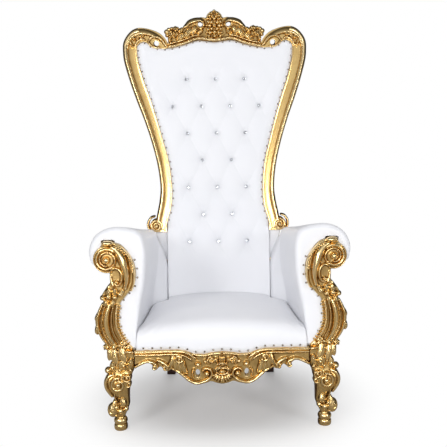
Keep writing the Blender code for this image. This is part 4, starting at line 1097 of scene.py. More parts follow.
def arm_body():
    """Right arm: its front section turns into the rear one over the depth.

    The inner and the outer side change at their own pace. The front edge is a quarter
    ellipse that is wide on the roll and nearly sharp low down, beside the seat, and the
    roof carries soft cross folds near the front.
    """
    front, rear = arm_rings()
    m = len(front)
    depth = np.r_[np.linspace(0, 0.72, 44), np.linspace(0.735, 1, 26)]
    keys = np.array(ARM_SHARES)
    fine = np.linspace(0, 1, 301)
    kernel = np.hanning(25) / np.hanning(25).sum()
    eased = []
    for k in (1, 2):
        straight = np.pad(np.interp(fine, keys[:, 0], keys[:, k]), 12, "edge")
        eased.append(np.interp(depth, fine, np.convolve(straight, kernel, "valid"))[:, None])
    inner, outer = eased
    where = np.linspace(0, 1, m)[None]
    side = np.clip((where - 0.36) / 0.14, 0, 1)
    share = inner * (1 - side) + outer * side
    a = front[None, :, 0] + (rear[None, :, 0] - front[None, :, 0]) * share
    b = front[None, :, 1] + (rear[None, :, 1] - front[None, :, 1]) * share
    b = np.maximum(b, RAIL_TOP + 0.4)
    y_front = arm_front_depth(b)
    low = (y_front - 8) / 8
    y_rear = SEAT_DEPTH + BACK_SLOPE * (b - RAIL_TOP) + 5.6
    y = y_front + 30 * low + (y_rear - y_front - 30 * low) * depth[:, None]
    ring = np.stack([a, b], -1)
    edge = []
    reach = (0.8 + 15 * low + 5 * side * low)[0]
    for angle in np.linspace(0, math.pi / 2, 9)[:-1]:
        out = y_front[0] + (1 + 29 * low[0]) * (1 - math.cos(angle))
        edge.append(np.c_[inset(ring[0], reach * (1 - math.sin(angle))), out])
    fold = np.exp(-((y - 80) / 60) ** 2) * np.sin(where * 60) * 0.8
    lump = sheet_noise(y, b + a, 40, 8) * 1.2 + fold
    top = np.clip((b - 420) / 120, 0, 1)
    middle = ring.mean(axis=1, keepdims=True)
    outwards = ring - middle
    outwards /= np.linalg.norm(outwards, axis=2)[..., None]
    ring = ring + outwards * (lump * top * np.clip(depth[:, None] * 30, 0, 1))[..., None]
    body = np.concatenate([np.stack(edge), np.concatenate([ring, y[..., None]], 2)])
    body[..., 1] = np.maximum(body[..., 1], RAIL_TOP + 0.4)
    body[..., 2] *= -1
    return skin(body, flat_ends=True)


def arm_pocket():
    """Room of the arm post in the arm: the post's outline grown by 1.2 mm, carried back."""
    inner = spline(POST_INNER, 8)[:, :2].tolist()
    roll = arc(*VOLUTE, 53, -22, 62, 16)
    outline = [(640, 330), (640, 640), *roll, *POCKET_CAP, *inner, (351, 330)]
    grown = inset(np.array(outline, float), -1.2)
    grown[:2], grown[-1, 1] = outline[:2], 330
    return skin(np.stack([
        np.c_[grown, np.full(len(grown), -POST_DEPTH - 0.6)], np.c_[grown, np.full(len(grown), 30.0)],
    ]), flat_ends=True)


# Distance from the middle, and height of the front rail's upper edge there
SEAT_FOOT = ((0, 36, 73, 110, 140, 171, 346), (330, 327, 320, 322, 333, 340, 340))


def seat_body():
    """Stuffed seat: one closed profile from front to rear, carried across.

    Across, u runs from -1 to 1 and x is u times the room between the arms. The top is a
    crown 1 - |u|^2.2 that falls to its rims, with pull lines running in from the front
    corners.
    """
    y = np.r_[4.6, 4.2, 4.0, 4.4, 5.4, 7.6, 11.5, 17.5, 26, 38, 55, np.linspace(75, 560, 60)]
    lift = np.r_[0, 22, 40, 56, 68, 79, 88, 95.5, 101.5, 106, 109, np.full(60, 110)]
    rear = np.clip((y - 250) / 310, 0, 1)
    u = np.linspace(-1, 1, 121)[:, None]
    start = np.interp(np.abs(u) * 340, *SEAT_FOOT)
    crown = SEAT_CROWN * (1 - np.abs(u) ** 2.2)
    side_z = RAIL_TOP + SEAT_SIDE_RISE
    full = side_z + crown * (1 - 0.5 * rear[None])
    z = start + (full - start) * (lift[None] / 110)
    rim = (1 - np.abs(u)) * 330
    z = z - 16 * np.exp(-rim / 9) * np.clip((y[None] - 50) / 110, 0, 1)
    corner = np.exp(-((y[None] - 60) / 70) ** 2) * np.exp(-((np.abs(u) - 0.86) / 0.14) ** 2)
    z = z + 2.2 * corner * np.sin((np.abs(u) * 330 + y[None] * 0.9) / 7.5)
    z = z + 1.3 * sheet_noise(u * 330, y[None], 60, 11) * np.clip(lift[None] / 110, 0, 1)
    depth = np.clip((y - 17) / (SEAT_DEPTH - 12), 0, 1)
    slant = np.clip((z - RAIL_TOP) / SEAT_SIDE_RISE, 0, 1)
    half_low = arm_width(341.0, depth)[None]
    half = half_low + (arm_width(418.0, depth)[None] - half_low) * slant - 1.2
    x = u * half
    bulge = 5.0 * np.sin(np.clip(lift / 90, 0, 1) * np.pi) * (1 - 0.2 * np.abs(u) ** 3)
    front = y[None] - bulge
    top = np.stack([x, z, -front], -1)
    bottom_y = np.array([560.0, 300.0, 60.0, 34.0, 33.0])
    bottom_z = np.array([340.6, 340.6, 340.6, 340.6, 0.0])
    half_low = arm_width(341.0, np.clip((bottom_y - 17) / (SEAT_DEPTH - 12), 0, 1)) - 1.2
    under = np.stack([
        u * half_low[None], np.where(bottom_z[None] > 0, bottom_z[None], start),
        -bottom_y[None] * np.ones_like(u),
    ], -1)
    return skin(np.concatenate([top, under], 1), flat_ends=True)


def rounded_bar(rows, power=4.0, count=40):
    """Closed bar through sections (x, y, z, half x, half y): superellipses of the power."""
    rows = np.array(rows, float)
    turn = np.linspace(0, 2 * math.pi, count + 1)[None, :-1]
    u = np.sign(np.cos(turn)) * np.abs(np.cos(turn)) ** (2 / power)
    v = np.sign(np.sin(turn)) * np.abs(np.sin(turn)) ** (2 / power)
    x, y, z, hx, hy = (rows[:, k, None] for k in range(5))
    return skin(np.stack([x + u * hx, y + v * hy, z * np.ones_like(u)], -1))


def rear_leg_body():
    """Splayed rear leg in its solid's box: a nearly square bar, thicker towards the top.

    Its middle goes back from the top to the foot with the power 1.4 of the way down.
    """
    low, high = (np.array(v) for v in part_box("rear_leg_right"))
    half = (high[0] - low[0]) / 2
    share = np.linspace(0, 1, 30)
    wide = half * np.interp(share, [0, 0.5, 1], [0.8, 0.9, 1.0])
    y = low[1] + half + (1 - share) ** 1.4 * (high[1] - low[1] - 1.8 * half)
    x = np.full(30, (low[0] + high[0]) / 2)
    return rounded_bar(np.stack([x, y, high[2] * share, wide, wide], 1), 7.0)


def nail_head(a, b, d, radius):
    """Low dome over a short shank: rings of a quarter circle, closed below."""
    turn = np.linspace(0, 2 * math.pi, 9)[:-1]
    rings = ((0.5, -1.6), (1.0, -0.2), (0.9, 0.30), (0.55, 0.62), (0.15, 0.75))
    return skin(np.stack([
        np.stack([
            a + radius * r * np.cos(turn), b + radius * r * np.sin(turn),
            np.full(8, d + radius * h),
        ], 1) for r, h in rings
    ]), flat_ends=True)


FRONT_NAIL_LINE = (
    (346, 350), (250, 350), (171, 350), (140, 343), (110, 332), (73, 330), (36, 337), (0, 340),
)


def back_nail_heads(radius, pitch, depth):
    """Nails 8 mm inside the frame's inner edge, on the pad's own height there."""
    edge = [i for _, i in STILE[1:18]] + list(CREST_BOTTOM[:0:-1])
    edge = spline(edge, pitch)[:, :2]
    along = np.gradient(edge, axis=0)
    along /= np.linalg.norm(along, axis=1)[:, None]
    inner = edge + np.stack([-along[:, 1], along[:, 0]], 1) * 8
    high = pad_height(inner[:, 0], inner[:, 1], np.full(len(inner), 7.4), depth)
    return [nail_head(a, b, d, radius) for (a, b), d in zip(inner, high)]


def front_nail_heads(radius, pitch):
    """Nails in a line over the front rail, and beside the inner edge of the arm post."""
    rail = spline(FRONT_NAIL_LINE, pitch)
    post = spline([(x - 7, z + 1) for x, z in POST_INNER[3:-1]], pitch)
    heads = [nail_head(a, b, 0.5, radius) for a, b in rail]
    return heads + [nail_head(a, b, 1 - arm_front_depth(b), radius) for a, b in post]


BUTTON_LIFT = 12.5
BUTTON_RINGS = ((0.2, -6), (0.9, -1), (1.0, 0.6), (0.97, 1.4), (0.66, 4.2), (0.36, 5.2))


def faceted(a, b, d, radius):
    """Brilliant-cut button: cup, girdle, crown and table as rings of twelve points.

    Every other ring is turned by half a facet.
    """
    grid = []
    for k, (share, out) in enumerate(BUTTON_RINGS):
        turn = np.linspace(0, 2 * math.pi, 13)[:-1] + (math.pi / 12) * (k % 2)
        grid.append(np.stack([
            a + radius * share * np.cos(turn), b + radius * share * np.sin(turn),
            np.full(12, d + out),
        ], 1))
    return skin(np.stack(grid), flat_ends=True)


# Materials

def nodes_of(mat):
    """The node tree of a material and its Principled shader."""
    mat.use_nodes = True
    tree = mat.node_tree
    return tree, tree.nodes["Principled BSDF"]


def group(name, inputs, outputs):
    """Empty node group with its sockets and its end nodes."""
    tree = bpy.data.node_groups.new(name, "ShaderNodeTree")
    for kind, label in inputs:
        tree.interface.new_socket(name=label, in_out="INPUT", socket_type=kind)
    for kind, label in outputs:
        tree.interface.new_socket(name=label, in_out="OUTPUT", socket_type=kind)
    return tree, tree.nodes.new("NodeGroupInput"), tree.nodes.new("NodeGroupOutput")


def node(tree, kind, links=(), **values):
    """One node: values set its properties or sockets, links join (output, input socket).

    A socket's name with a space is written with an underscore, and a numbered socket as
    at_ and its number.
    """
    made = tree.nodes.new(kind)
    for key, value in values.items():
        if hasattr(made, key):
            setattr(made, key, value)
        elif key.startswith("at_"):
            made.inputs[int(key[3:])].default_value = value
        else:
            made.inputs[key.replace("_", " ")].default_value = value
    for output, socket in links:
        tree.links.new(output, made.inputs[socket])
    return made


def noise(tree, place, **values):
    """Noise over a place; gives the value from 0 to 1."""
    return node(tree, "ShaderNodeTexNoise", [(place, "Vector")], **values).outputs["Fac"]


def spread(tree, value, **limits):
    """A value carried from one range to another and kept inside it."""
    return node(tree, "ShaderNodeMapRange", [(value, "Value")], **limits).outputs["Result"]


def scaled_sum(tree, value, factor, other):
    """value * factor + other, where other is an output or a number."""
    links, fixed = [(value, 0)], {"at_1": factor}
    if isinstance(other, float):
        fixed["at_2"] = other
    else:
        links.append((other, 2))
    return node(tree, "ShaderNodeMath", links, operation="MULTIPLY_ADD", **fixed).outputs[0]


def mixed(tree, share, first, second, blend="MIX"):
    """Two colours mixed by a share; the second one is an output or a fixed colour."""
    links, fixed = [(share, "Factor"), (first, 6)], {}
    if isinstance(second, tuple):
        fixed["at_7"] = second
    else:
        links.append((second, 7))
    made = node(tree, "ShaderNodeMix", links, data_type="RGBA", blend_type=blend, **fixed)
    return made.outputs[2]


def ramp(tree, source, stops):
    """Colour ramp over a value; stops are (place, colour)."""
    made = tree.nodes.new("ShaderNodeValToRGB")
    tree.links.new(source, made.inputs["Fac"])
    band = made.color_ramp.elements
    while len(band) < len(stops):
        band.new(0.5)
    for stop, (place, colour) in zip(band, stops):
        stop.position = place
        stop.color = (*colour, 1.0)
    return made.outputs["Color"]


LOOK_OUTPUTS = (("Colour", "Base Color"), ("Roughness", "Roughness"), ("Normal", "Normal"))
LOOK_SOCKETS = [
    ("NodeSocketColor", "Colour"), ("NodeSocketFloat", "Roughness"), ("NodeSocketVector", "Normal"),
]


def end_group(tree, end, colour, rough, height, strength, distance):
    """Joins colour, roughness and the bump of a height to the group's outputs."""
    bump = node(tree, "ShaderNodeBump", [(height, "Height")], Strength=strength, Distance=distance)
    for output, (label, _) in zip((colour, rough, bump.outputs["Normal"]), LOOK_OUTPUTS):
        tree.links.new(output, end.inputs[label])
    return tree


def gilding_group():
    """Gilding: dark warm painted shade in the hollows, painted highlights on the crests, with fine
    brush and size marks.
    """
    tree, start, end = group(
        "gilding_look",
        [("NodeSocketColor", "Crest colour"), ("NodeSocketColor", "Gold"),
         ("NodeSocketColor", "Hollow colour"), ("NodeSocketFloat", "Hollow")], LOOK_SOCKETS,
    )
    hollow = start.outputs["Hollow"]
    place = node(tree, "ShaderNodeTexCoord").outputs["Object"]
    cloud = noise(tree, place, Scale=34.0, Detail=5.0, Roughness=0.6)
    fine = noise(tree, place, Scale=620.0, Detail=3.0, Roughness=0.6)
    # Painted shade: this mask lays the dark hollow colour into the grooves, made uneven by the cloud.
    lift = spread(tree, hollow, From_Min=0.05, From_Max=0.75)
    uneven = scaled_sum(tree, cloud, 0.5, -0.25)
    painted_shade_mask = node(
        tree, "ShaderNodeMath", [(lift, 0), (uneven, 1)], operation="ADD", use_clamp=True,
    ).outputs[0]
    tone = spread(tree, cloud, From_Min=0.3, From_Max=0.7, To_Min=0.0, To_Max=0.35)
    # Painted highlight: the pale crest colour sits on the crests and fades to gold towards the
    # grooves.
    highlight_fade = spread(tree, hollow, From_Min=-0.45, From_Max=0.0)
    shown = mixed(tree, highlight_fade, start.outputs["Crest colour"], start.outputs["Gold"])
    deep = mixed(tree, tone, shown, (0.92, 0.78, 0.55, 1.0), "MULTIPLY")
    colour = mixed(tree, painted_shade_mask, deep, start.outputs["Hollow colour"])
    polish = spread(tree, fine, To_Min=0.15, To_Max=0.30)
    rough = scaled_sum(tree, painted_shade_mask, 0.22, polish)
    relief = scaled_sum(tree, cloud, 1.5, fine)
    return end_group(tree, end, colour, rough, relief, 0.13, 0.0010)


def leather_group():
    """White coated leather: pebbled grain, soft creases and a faint change of tone."""
    tree, start, end = group("leather_look", [("NodeSocketColor", "Leather")], LOOK_SOCKETS)
    place = node(tree, "ShaderNodeTexCoord").outputs["Object"]
    pebble = node(
        tree, "ShaderNodeTexVoronoi", [(place, "Vector")],
        Scale=520.0, feature="SMOOTH_F1", Smoothness=0.6,
    ).outputs["Distance"]
    crease = noise(tree, place, Scale=46.0, Detail=6.0, Roughness=0.62, Distortion=0.6)
    broad = noise(tree, place, Scale=6.0, Detail=2.0)
    tone = spread(tree, broad, From_Min=0.35, From_Max=0.7, To_Max=0.06)
    colour = mixed(tree, tone, start.outputs["Leather"], (0.55, 0.58, 0.66, 1.0))
    rough = spread(tree, crease, To_Min=0.36, To_Max=0.52)
    height = scaled_sum(tree, pebble, 0.35, crease)
    return end_group(tree, end, colour, rough, height, 0.16, 0.0016)


def dressed(name, look_name, make_look, tints):
    """Material that takes colour, roughness and normal from a look group with its tints."""
    mat = bpy.data.materials.new(name)
    tree, shader = nodes_of(mat)
    look = tree.nodes.new("ShaderNodeGroup")
    look.node_tree = bpy.data.node_groups.get(look_name) or make_look()
    for label, tint in tints.items():
        look.inputs[label].default_value = (*tint, 1.0)
    for label, socket in LOOK_OUTPUTS:
        tree.links.new(look.outputs[label], shader.inputs[socket])
    return mat, tree, shader, look


def gilding(name, colours):
    """Gilding that reads the piece's own hollow attribute for its painted shade and painted
    highlights.
    """
    mat, tree, shader, look = dressed(name, "gilding_look", gilding_group, {
        "Crest colour": colours.crest, "Gold": colours.gold, "Hollow colour": colours.hollow,
    })
    hollow = node(tree, "ShaderNodeAttribute", attribute_name="hollow")
    tree.links.new(hollow.outputs["Fac"], look.inputs["Hollow"])
    shader.inputs["Metallic"].default_value = 1.0
    return mat


def leather(name, colours):
    """White leather."""
    mat, _, shader, _ = dressed(name, "leather_look", leather_group, {"Leather": colours.leather})
    shader.inputs["Specular IOR Level"].default_value = 0.42
    return mat


def toned(name, pale, share, stops, pattern):
    """Material whose colour runs from a share of its pale tone to the tone itself.

    pattern makes the value that the ramp follows; stops are the ramp's two places.
    """
    mat = bpy.data.materials.new(name)
    tree, shader = nodes_of(mat)
    value = pattern(tree, node(tree, "ShaderNodeTexCoord").outputs["Object"])
    pale = tuple(pale)
    dark = tuple(share * c for c in pale)
    shade = ramp(tree, value, ((stops[0], dark), (stops[1], pale)))
    tree.links.new(shade, shader.inputs["Base Color"])
    return mat, tree, shader, value


def nail_metal(colours):
    """Aged nickel: clouded tone, worn brighter here and there."""
    mat, _, shader, _ = toned(
        "nail_metal", colours.nail, 0.45, (0.35, 0.65),
        lambda tree, place: noise(tree, place, Scale=90.0, Detail=3.0),
    )
    shader.inputs["Metallic"].default_value = 1.0
    shader.inputs["Roughness"].default_value = 0.24
    return mat


def dark_wood(colours):
    """Near-black stained wood: long grain down the leg and a satin varnish."""
    def grain_of(tree, place):
        along = node(tree, "ShaderNodeMapping", [(place, "Vector")], Scale=(60.0, 60.0, 5.0))
        return noise(tree, along.outputs["Vector"], Scale=3.0, Detail=6.0, Roughness=0.7)

    mat, tree, shader, grain = toned("stained_wood", colours.wood, 0.35, (0.35, 0.65), grain_of)
    rough = spread(tree, grain, To_Min=0.28, To_Max=0.46)
    bump = node(tree, "ShaderNodeBump", [(grain, "Height")], Strength=0.12, Distance=0.001)
    tree.links.new(rough, shader.inputs["Roughness"])
    tree.links.new(bump.outputs["Normal"], shader.inputs["Normal"])
    return mat


def crystal(colours):
    """Foil-backed cut crystal with mirror-like polish; patches of darker and paler tone are painted
    reflections of the facets.
    """
    def painted_glints(tree, place):
        made = node(tree, "ShaderNodeTexVoronoi", [(place, "Vector")], Scale=260.0)
        return made.outputs["Color"]

    # Painted reflections: the cells' darker and paler tones stand in for the facets' sparkle.
    mat, _, shader, _ = toned("cut_crystal", colours.crystal, 0.45, (0.25, 0.6), painted_glints)
    shader.inputs["Metallic"].default_value = 0.75
    shader.inputs["Roughness"].default_value = 0.06
    return mat


def floor_finish(colours):
    """Pale floor that fades to plain white far from the throne, and mirrors as a dull ground."""
    mat, tree, shader, _ = toned(
        "floor", colours.floor, 0.985, (0.3, 0.7),
        lambda tree, place: noise(tree, place, Scale=3.0, Detail=3.0),
    )
    shader.inputs["Roughness"].default_value = 0.7
    shader.inputs["Specular IOR Level"].default_value = 0.1
    place = node(tree, "ShaderNodeTexCoord").outputs["Object"]
    far = node(tree, "ShaderNodeVectorMath", [(place, 0)], operation="LENGTH").outputs["Value"]
    share = spread(tree, far, From_Min=0.30, From_Max=0.75, interpolation_type="SMOOTHSTEP")
    glow = node(tree, "ShaderNodeEmission", Color=(1, 1, 1, 1), Strength=1.0)
    path = tree.nodes.new("ShaderNodeLightPath")
    seen = node(
        tree, "ShaderNodeMath", [(share, 0), (path.outputs["Is Camera Ray"], 1)],
        operation="MULTIPLY",
    )
    mix = node(tree, "ShaderNodeMixShader", [
        (seen.outputs[0], 0), (shader.outputs["BSDF"], 1), (glow.outputs["Emission"], 2),
    ])
    dull = node(tree, "ShaderNodeBsdfDiffuse", Color=(0.36, 0.33, 0.28, 1))
    ground = node(tree, "ShaderNodeMixShader", [
        (path.outputs["Is Glossy Ray"], 0), (mix.outputs["Shader"], 1), (dull.outputs["BSDF"], 2),
    ])
    tree.links.new(ground.outputs["Shader"], tree.nodes["Material Output"].inputs["Surface"])
    return mat


# Settings that a user would change

class ThroneSizes(bpy.types.PropertyGroup):
    """Sizes of the finish"""
    voxel: bpy.props.FloatProperty(
        name="Carving fineness", description="Size of the finest step in the carving, in millimetres",
        default=1.5, min=1.0, max=4.0)
    pillow: bpy.props.FloatProperty(
        name="Pillow height", default=21.0, min=5.0, max=30.0,
        description="How far the back's pillows stand over their pleats, in millimetres")
    nail: bpy.props.FloatProperty(
        name="Nail radius", description="Radius of a nail head",
        default=0.0042, min=0.002, max=0.01, unit="LENGTH", subtype="DISTANCE")
    nail_pitch: bpy.props.FloatProperty(
        name="Nail pitch", description="Distance between nails",
        default=0.034, min=0.01, max=0.1, unit="LENGTH", subtype="DISTANCE")
    button: bpy.props.FloatProperty(
        name="Button radius", description="Radius of a crystal button",
        default=0.0085, min=0.004, max=0.02, unit="LENGTH", subtype="DISTANCE")
    floor: bpy.props.FloatProperty(
        name="Floor size", description="Half width of the floor",
        default=40.0, min=5.0, unit="LENGTH", subtype="DISTANCE")


class ThroneColours(bpy.types.PropertyGroup):
    """Colours of the finish"""
    # The pale crest colour is a painted highlight laid on the gilding's crests.
    crest: bpy.props.FloatVectorProperty(
        name="Crests", description="Painted highlight on the gilding's crests",
        subtype="COLOR", default=(0.97, 0.76, 0.42), min=0, max=1)
    gold: bpy.props.FloatVectorProperty(
        name="Gold", description="Gilding between crests and hollows",
        subtype="COLOR", default=(0.93, 0.66, 0.28), min=0, max=1)
    # The hollow colour is painted shade laid into the gilding's hollows.
    hollow: bpy.props.FloatVectorProperty(
        name="Hollow", description="Painted shade in the gilding's hollows",
        subtype="COLOR", default=(0.13, 0.060, 0.012), min=0, max=1)
    leather: bpy.props.FloatVectorProperty(
        name="Leather", description="White leather",
        subtype="COLOR", default=(0.82, 0.825, 0.855), min=0, max=1)
    crystal: bpy.props.FloatVectorProperty(
        name="Crystal", description="Crystal buttons",
        subtype="COLOR", default=(0.90, 0.93, 0.98), min=0, max=1)
    nail: bpy.props.FloatVectorProperty(
        name="Nails", description="Nail heads",
        subtype="COLOR", default=(0.52, 0.46, 0.40), min=0, max=1)
    wood: bpy.props.FloatVectorProperty(
        name="Wood", description="Stained rear legs",
        subtype="COLOR", default=(0.040, 0.014, 0.010), min=0, max=1)
    floor: bpy.props.FloatVectorProperty(
        name="Floor", description="Floor",
        subtype="COLOR", default=(0.90, 0.90, 0.90), min=0, max=1)


def sizes():
    """The sizes as the user has set them."""
    return bpy.context.scene.throne_sizes


def colours():
    """The colours as the user has set them."""
    return bpy.context.scene.throne_colours


def gold():
    """The one gilding material that all gilded pieces share."""
    return bpy.data.materials.get("gilding_finish") or gilding("gilding_finish", colours())


def white():
    """The one leather material that all upholstery shares."""
    found = bpy.data.materials.get("white_leather_finish")
    return found or leather("white_leather_finish", colours())


# Steps

class ThroneOperator:
    """What every step has in common."""
    bl_options = {"REGISTER", "UNDO"}

    def execute(self, context):
        self.make()
        return {"FINISHED"}


class THRONE_OT_front_legs(ThroneOperator, bpy.types.Operator):
    """Carves the two front legs"""
    bl_idname = "throne.front_legs"
    bl_label = "Front legs"

    def make(self):
        mesh = carve("front_leg_right", front_leg_bodies(), on_front, sizes().voxel, 0.5)
        shade_side(mesh)
        add_pair("front_leg", mesh, gold())


class THRONE_OT_arm_posts(ThroneOperator, bpy.types.Operator):
    """Carves the two arm posts"""
    bl_idname = "throne.arm_posts"
    bl_label = "Arm posts"

    def make(self):
        mesh = carve("arm_post_right", arm_post_bodies(), on_front, sizes().voxel, 0.36)
        add_pair("arm_post", mesh, gold())


class THRONE_OT_apron(ThroneOperator, bpy.types.Operator):
    """Carves the front rail"""
    bl_idname = "throne.apron"
    bl_label = "Front rail"

    def make(self):
        mesh = carve("seat_rail_front", apron_bodies(), on_front, sizes().voxel, 0.42)
        add_piece("seat_rail_front_finish", mesh, gold(), ["seat_rail_front"])


class THRONE_OT_back_frame(ThroneOperator, bpy.types.Operator):
    """Sweeps and carves the two sides of the back frame"""
    bl_idname = "throne.back_frame"
    bl_label = "Back frame"

    def make(self):
        mesh = carve(
            "back_frame_right", back_frame_bodies(), on_back, sizes().voxel, 0.5,
            [stile_sweep(0, 15)],
        )
        add_pair("back_frame", mesh, gold())


class THRONE_OT_crest(ThroneOperator, bpy.types.Operator):
    """Carves the crest"""
    bl_idname = "throne.crest"
    bl_label = "Crest"

    def make(self):
        mesh = carve("crest_rail", crest_bodies(), on_back, sizes().voxel, 0.43)
        add_piece("crest_rail_finish", mesh, gold(), ["crest_rail"])


class THRONE_OT_rails(ThroneOperator, bpy.types.Operator):
    """Gilds the plain side and back rails"""
    bl_idname = "throne.rails"
    bl_label = "Plain rails"

    def make(self):
        for name in ("seat_rail_left", "seat_rail_right", "seat_rail_back"):
            obj = frame["nodes"][name]
            obj.data.materials.clear()
            obj.data.materials.append(gold())


class THRONE_OT_rear_legs(ThroneOperator, bpy.types.Operator):
    """Shapes the two splayed rear legs"""
    bl_idname = "throne.rear_legs"
    bl_label = "Rear legs"

    def make(self):
        mesh = new_mesh("rear_leg_right", *rear_leg_body())
        mesh.shade_smooth()
        add_pair("rear_leg", mesh, dark_wood(colours()))


class THRONE_OT_back_pad(ThroneOperator, bpy.types.Operator):
    """Stuffs and pleats the back pad"""
    bl_idname = "throne.back_pad"
    bl_label = "Buttoned back"

    def make(self):
        mesh = smooth_mesh("back_pad", back_pad_body(sizes().pillow), on_back)
        pad = add_piece("back_pad_finish", mesh, white(), ["back_pad"])


class THRONE_OT_frame_facing(ThroneOperator, bpy.types.Operator):
    """Covers the foot of the back frame with leather"""
    bl_idname = "throne.frame_facing"
    bl_label = "Frame facing"

    def make(self):
        mesh = smooth_mesh("frame_facing", gather(both([frame_facing_body()])), on_back)
        add_piece("frame_facing", mesh, white(), [])


class THRONE_OT_back_panel(ThroneOperator, bpy.types.Operator):
    """Stuffs the outside back"""
    bl_idname = "throne.back_panel"
    bl_label = "Outside back"

    def make(self):
        mesh = smooth_mesh("back_panel", back_panel_body(), on_back)
        panel = add_piece("back_panel_finish", mesh, white(), ["back_panel"])


class THRONE_OT_arms(ThroneOperator, bpy.types.Operator):
    """Stuffs the two rolled arms"""
    bl_idname = "throne.arms"
    bl_label = "Arms"

    def make(self):
        mesh = soft_skin("arm_pad_right", arm_body(), on_front, 5.0, 0.6, arm_pocket())
        add_pair("arm_pad", mesh, white())


class THRONE_OT_seat(ThroneOperator, bpy.types.Operator):
    """Stuffs the seat"""
    bl_idname = "throne.seat"
    bl_label = "Seat"

    def make(self):
        mesh = smooth_mesh("seat_cushion", seat_body(), on_front)
        seat = add_piece("seat_cushion_finish", mesh, white(), ["seat_cushion"])


class THRONE_OT_buttons(ThroneOperator, bpy.types.Operator):
    """Sets the crystal buttons"""
    bl_idname = "throne.buttons"
    bl_label = "Buttons"

    def make(self):
        cut = [faceted(a, b, BUTTON_LIFT, sizes().button / MM) for a, b in button_spots()]
        points, faces = gather(cut)
        mesh = new_mesh("buttons", on_back(points), faces)
        names = [name for name in frame["nodes"] if name.startswith("button_")]
        add_piece("buttons_finish", mesh, crystal(colours()), names)


class THRONE_OT_nails(ThroneOperator, bpy.types.Operator):
    """Sets the nail heads round the back, over the front rail and along the arm posts"""
    bl_idname = "throne.nails"
    bl_label = "Nails"

    def make(self):
        radius = sizes().nail / MM
        pitch = sizes().nail_pitch / MM
        metal = nail_metal(colours())
        for name, heads, place in (
            ("back_nails", back_nail_heads(radius, pitch, sizes().pillow), on_back),
            ("front_nails", front_nail_heads(radius, pitch), on_front),
        ):
            add_piece(name, smooth_mesh(name, gather(both(heads)), place), metal, [])


class THRONE_OT_stage(ThroneOperator, bpy.types.Operator):
    """Sets the pale floor, the soft studio light and the camera"""
    bl_idname = "throne.stage"
    bl_label = "Stage"

    def make(self):
        lay_floor(sizes().floor)
        light_room()
        hang_lamps()
        set_camera()
        bpy.context.scene.view_settings.view_transform = "Standard"


# Stage

def lay_floor(half):
    """Square floor from -half to half."""
    mesh = bpy.data.meshes.new("floor")
    corners = [(-half, -half, 0), (half, -half, 0), (half, half, 0), (-half, half, 0)]
    mesh.from_pydata(corners, [], [(0, 1, 2, 3)])
    mesh.materials.append(floor_finish(colours()))
    floor = bpy.data.objects.new("floor", mesh)
    bpy.context.scene.collection.objects.link(floor)


def light_room():
    """White to the eye, an even soft light on dull surfaces, and a room in the gold's gloss.

    The room is brightest high in front and gets darker with the angle from there.
    """
    world = bpy.data.worlds.new("studio")
    bpy.context.scene.world = world
    world.use_nodes = True
    tree = world.node_tree
    tree.nodes.clear()
    way = node(tree, "ShaderNodeTexCoord").outputs["Generated"]
    facing = node(
        tree, "ShaderNodeVectorMath", [(way, 0)], operation="DOT_PRODUCT",
        at_1=(-0.15, -0.95, 0.27),
    ).outputs["Value"]
    tone = ramp(tree, spread(tree, facing, From_Min=-1.0), (
        (0.0, (0.03, 0.025, 0.02)), (0.5, (0.055, 0.05, 0.04)), (0.70, (0.20, 0.195, 0.18)),
        (0.85, (0.50, 0.49, 0.47)), (0.97, (0.86, 0.86, 0.85)),
    ))
    seen = node(tree, "ShaderNodeBackground", Color=(1.0, 1.0, 1.0, 1.0), Strength=1.0)
    room = node(tree, "ShaderNodeBackground", [(tone, "Color")], Strength=0.78)
    even = node(tree, "ShaderNodeBackground", Color=(0.98, 0.985, 1.0, 1.0), Strength=0.50)
    path = tree.nodes.new("ShaderNodeLightPath")
    dull = node(tree, "ShaderNodeMixShader", [
        (path.outputs["Is Glossy Ray"], 0), (even.outputs[0], 1), (room.outputs[0], 2),
    ])
    mix = node(tree, "ShaderNodeMixShader", [
        (path.outputs["Is Camera Ray"], 0), (dull.outputs[0], 1), (seen.outputs[0], 2),
    ])
    out = tree.nodes.new("ShaderNodeOutputWorld")
    tree.links.new(mix.outputs[0], out.inputs["Surface"])


# name, place, aim, width, power, seen in the gold's gloss
LAMPS = (
    ("key", (-2.2, -3.4, 2.2), (0, 0, 0.8), 0.9, 34, True),
    ("fill", (2.7, -3.0, 1.8), (0, 0, 0.7), 0.7, 20, True),
    ("front", (-0.3, -4.4, 1.2), (0, 0, 0.6), 1.2, 56, True),
    ("top", (0, 0.2, 4.0), (0, 0, 0.5), 1.6, 22, False),
    ("rear", (0, 3.0, 3.2), (0, 0, 0.9), 1.6, 24, False),
)


def hang_lamps():
    """Large soft boxes beside and over the camera, above the throne and behind it."""
    for name, spot, aim, size, power, glossy in LAMPS:
        lamp = bpy.data.lights.new(name, "AREA")
        lamp.shape = "RECTANGLE"
        lamp.size = size
        lamp.size_y = size * 1.2
        lamp.energy = power
        obj = bpy.data.objects.new(name, lamp)
        obj.location = spot
        way = Vector(aim) - Vector(spot)
        obj.rotation_euler = way.to_track_quat("-Z", "Y").to_euler()
        obj.visible_glossy = glossy
        bpy.context.scene.collection.objects.link(obj)


CAMERA_PLACE = (-0.034, -2.9547, 1.194)
CAMERA_TURN = (1.08, -7.82, -0.94)
CAMERA_FOCUS = 669.0
IMAGE_WIDTH = 447.0
SENSOR = 36.0


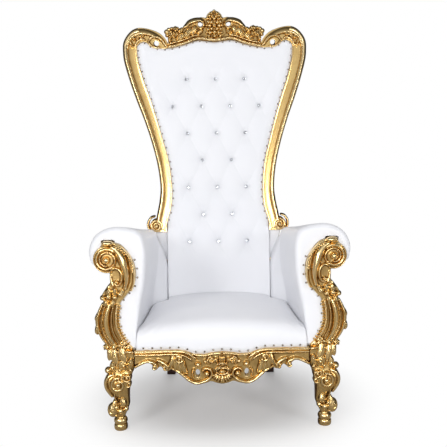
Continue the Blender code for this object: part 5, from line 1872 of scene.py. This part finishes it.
def set_camera():
    """Camera at the photograph's angle: yaw, pitch and roll in degrees, focus in pixels."""
    data = bpy.data.cameras.new("camera")
    data.lens = CAMERA_FOCUS / IMAGE_WIDTH * SENSOR
    data.sensor_width = SENSOR
    yaw, pitch, roll = (math.radians(v) for v in CAMERA_TURN)
    level = math.cos(pitch)
    forward = Vector((math.sin(yaw) * level, math.cos(yaw) * level, math.sin(pitch)))
    right = Vector((math.cos(yaw), -math.sin(yaw), 0))
    up = right.cross(forward)
    side = right * math.cos(roll) + up * math.sin(roll)
    rise = up * math.cos(roll) - right * math.sin(roll)
    turn = Matrix((side, rise, -forward)).transposed().to_4x4()
    obj = bpy.data.objects.new("camera", data)
    obj.matrix_world = Matrix.Translation(CAMERA_PLACE) @ turn
    bpy.context.scene.collection.objects.link(obj)
    bpy.context.scene.camera = obj


STEPS = (
    THRONE_OT_front_legs, THRONE_OT_arm_posts, THRONE_OT_apron, THRONE_OT_back_frame,
    THRONE_OT_crest, THRONE_OT_rails, THRONE_OT_rear_legs, THRONE_OT_back_pad,
    THRONE_OT_frame_facing, THRONE_OT_back_panel, THRONE_OT_arms, THRONE_OT_seat,
    THRONE_OT_buttons, THRONE_OT_nails, THRONE_OT_stage,
)


class THRONE_PT_panel(bpy.types.Panel):
    """Steps and settings of the throne"""
    bl_idname = "THRONE_PT_panel"
    bl_label = "Throne"
    bl_space_type = "VIEW_3D"
    bl_region_type = "UI"
    bl_category = "Throne"

    def draw(self, context):
        layout = self.layout
        for name in ThroneSizes.__annotations__:
            layout.prop(context.scene.throne_sizes, name)
        for name in ThroneColours.__annotations__:
            layout.prop(context.scene.throne_colours, name)
        for step in STEPS:
            layout.operator(step.bl_idname)


CLASSES = (ThroneSizes, ThroneColours, *STEPS, THRONE_PT_panel)


def register():
    """Registers the classes and hangs the settings on the scene."""
    for item in CLASSES:
        bpy.utils.register_class(item)
    bpy.types.Scene.throne_sizes = bpy.props.PointerProperty(type=ThroneSizes)
    bpy.types.Scene.throne_colours = bpy.props.PointerProperty(type=ThroneColours)


def unregister():
    """Takes the settings and the classes away again."""
    del bpy.types.Scene.throne_colours
    del bpy.types.Scene.throne_sizes
    for item in reversed(CLASSES):
        bpy.utils.unregister_class(item)


def main():
    """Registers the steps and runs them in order."""
    register()
    for step in STEPS:
        group_name, operator = step.bl_idname.split(".")
        getattr(getattr(bpy.ops, group_name), operator)()


if __name__ == "__main__":
    main()
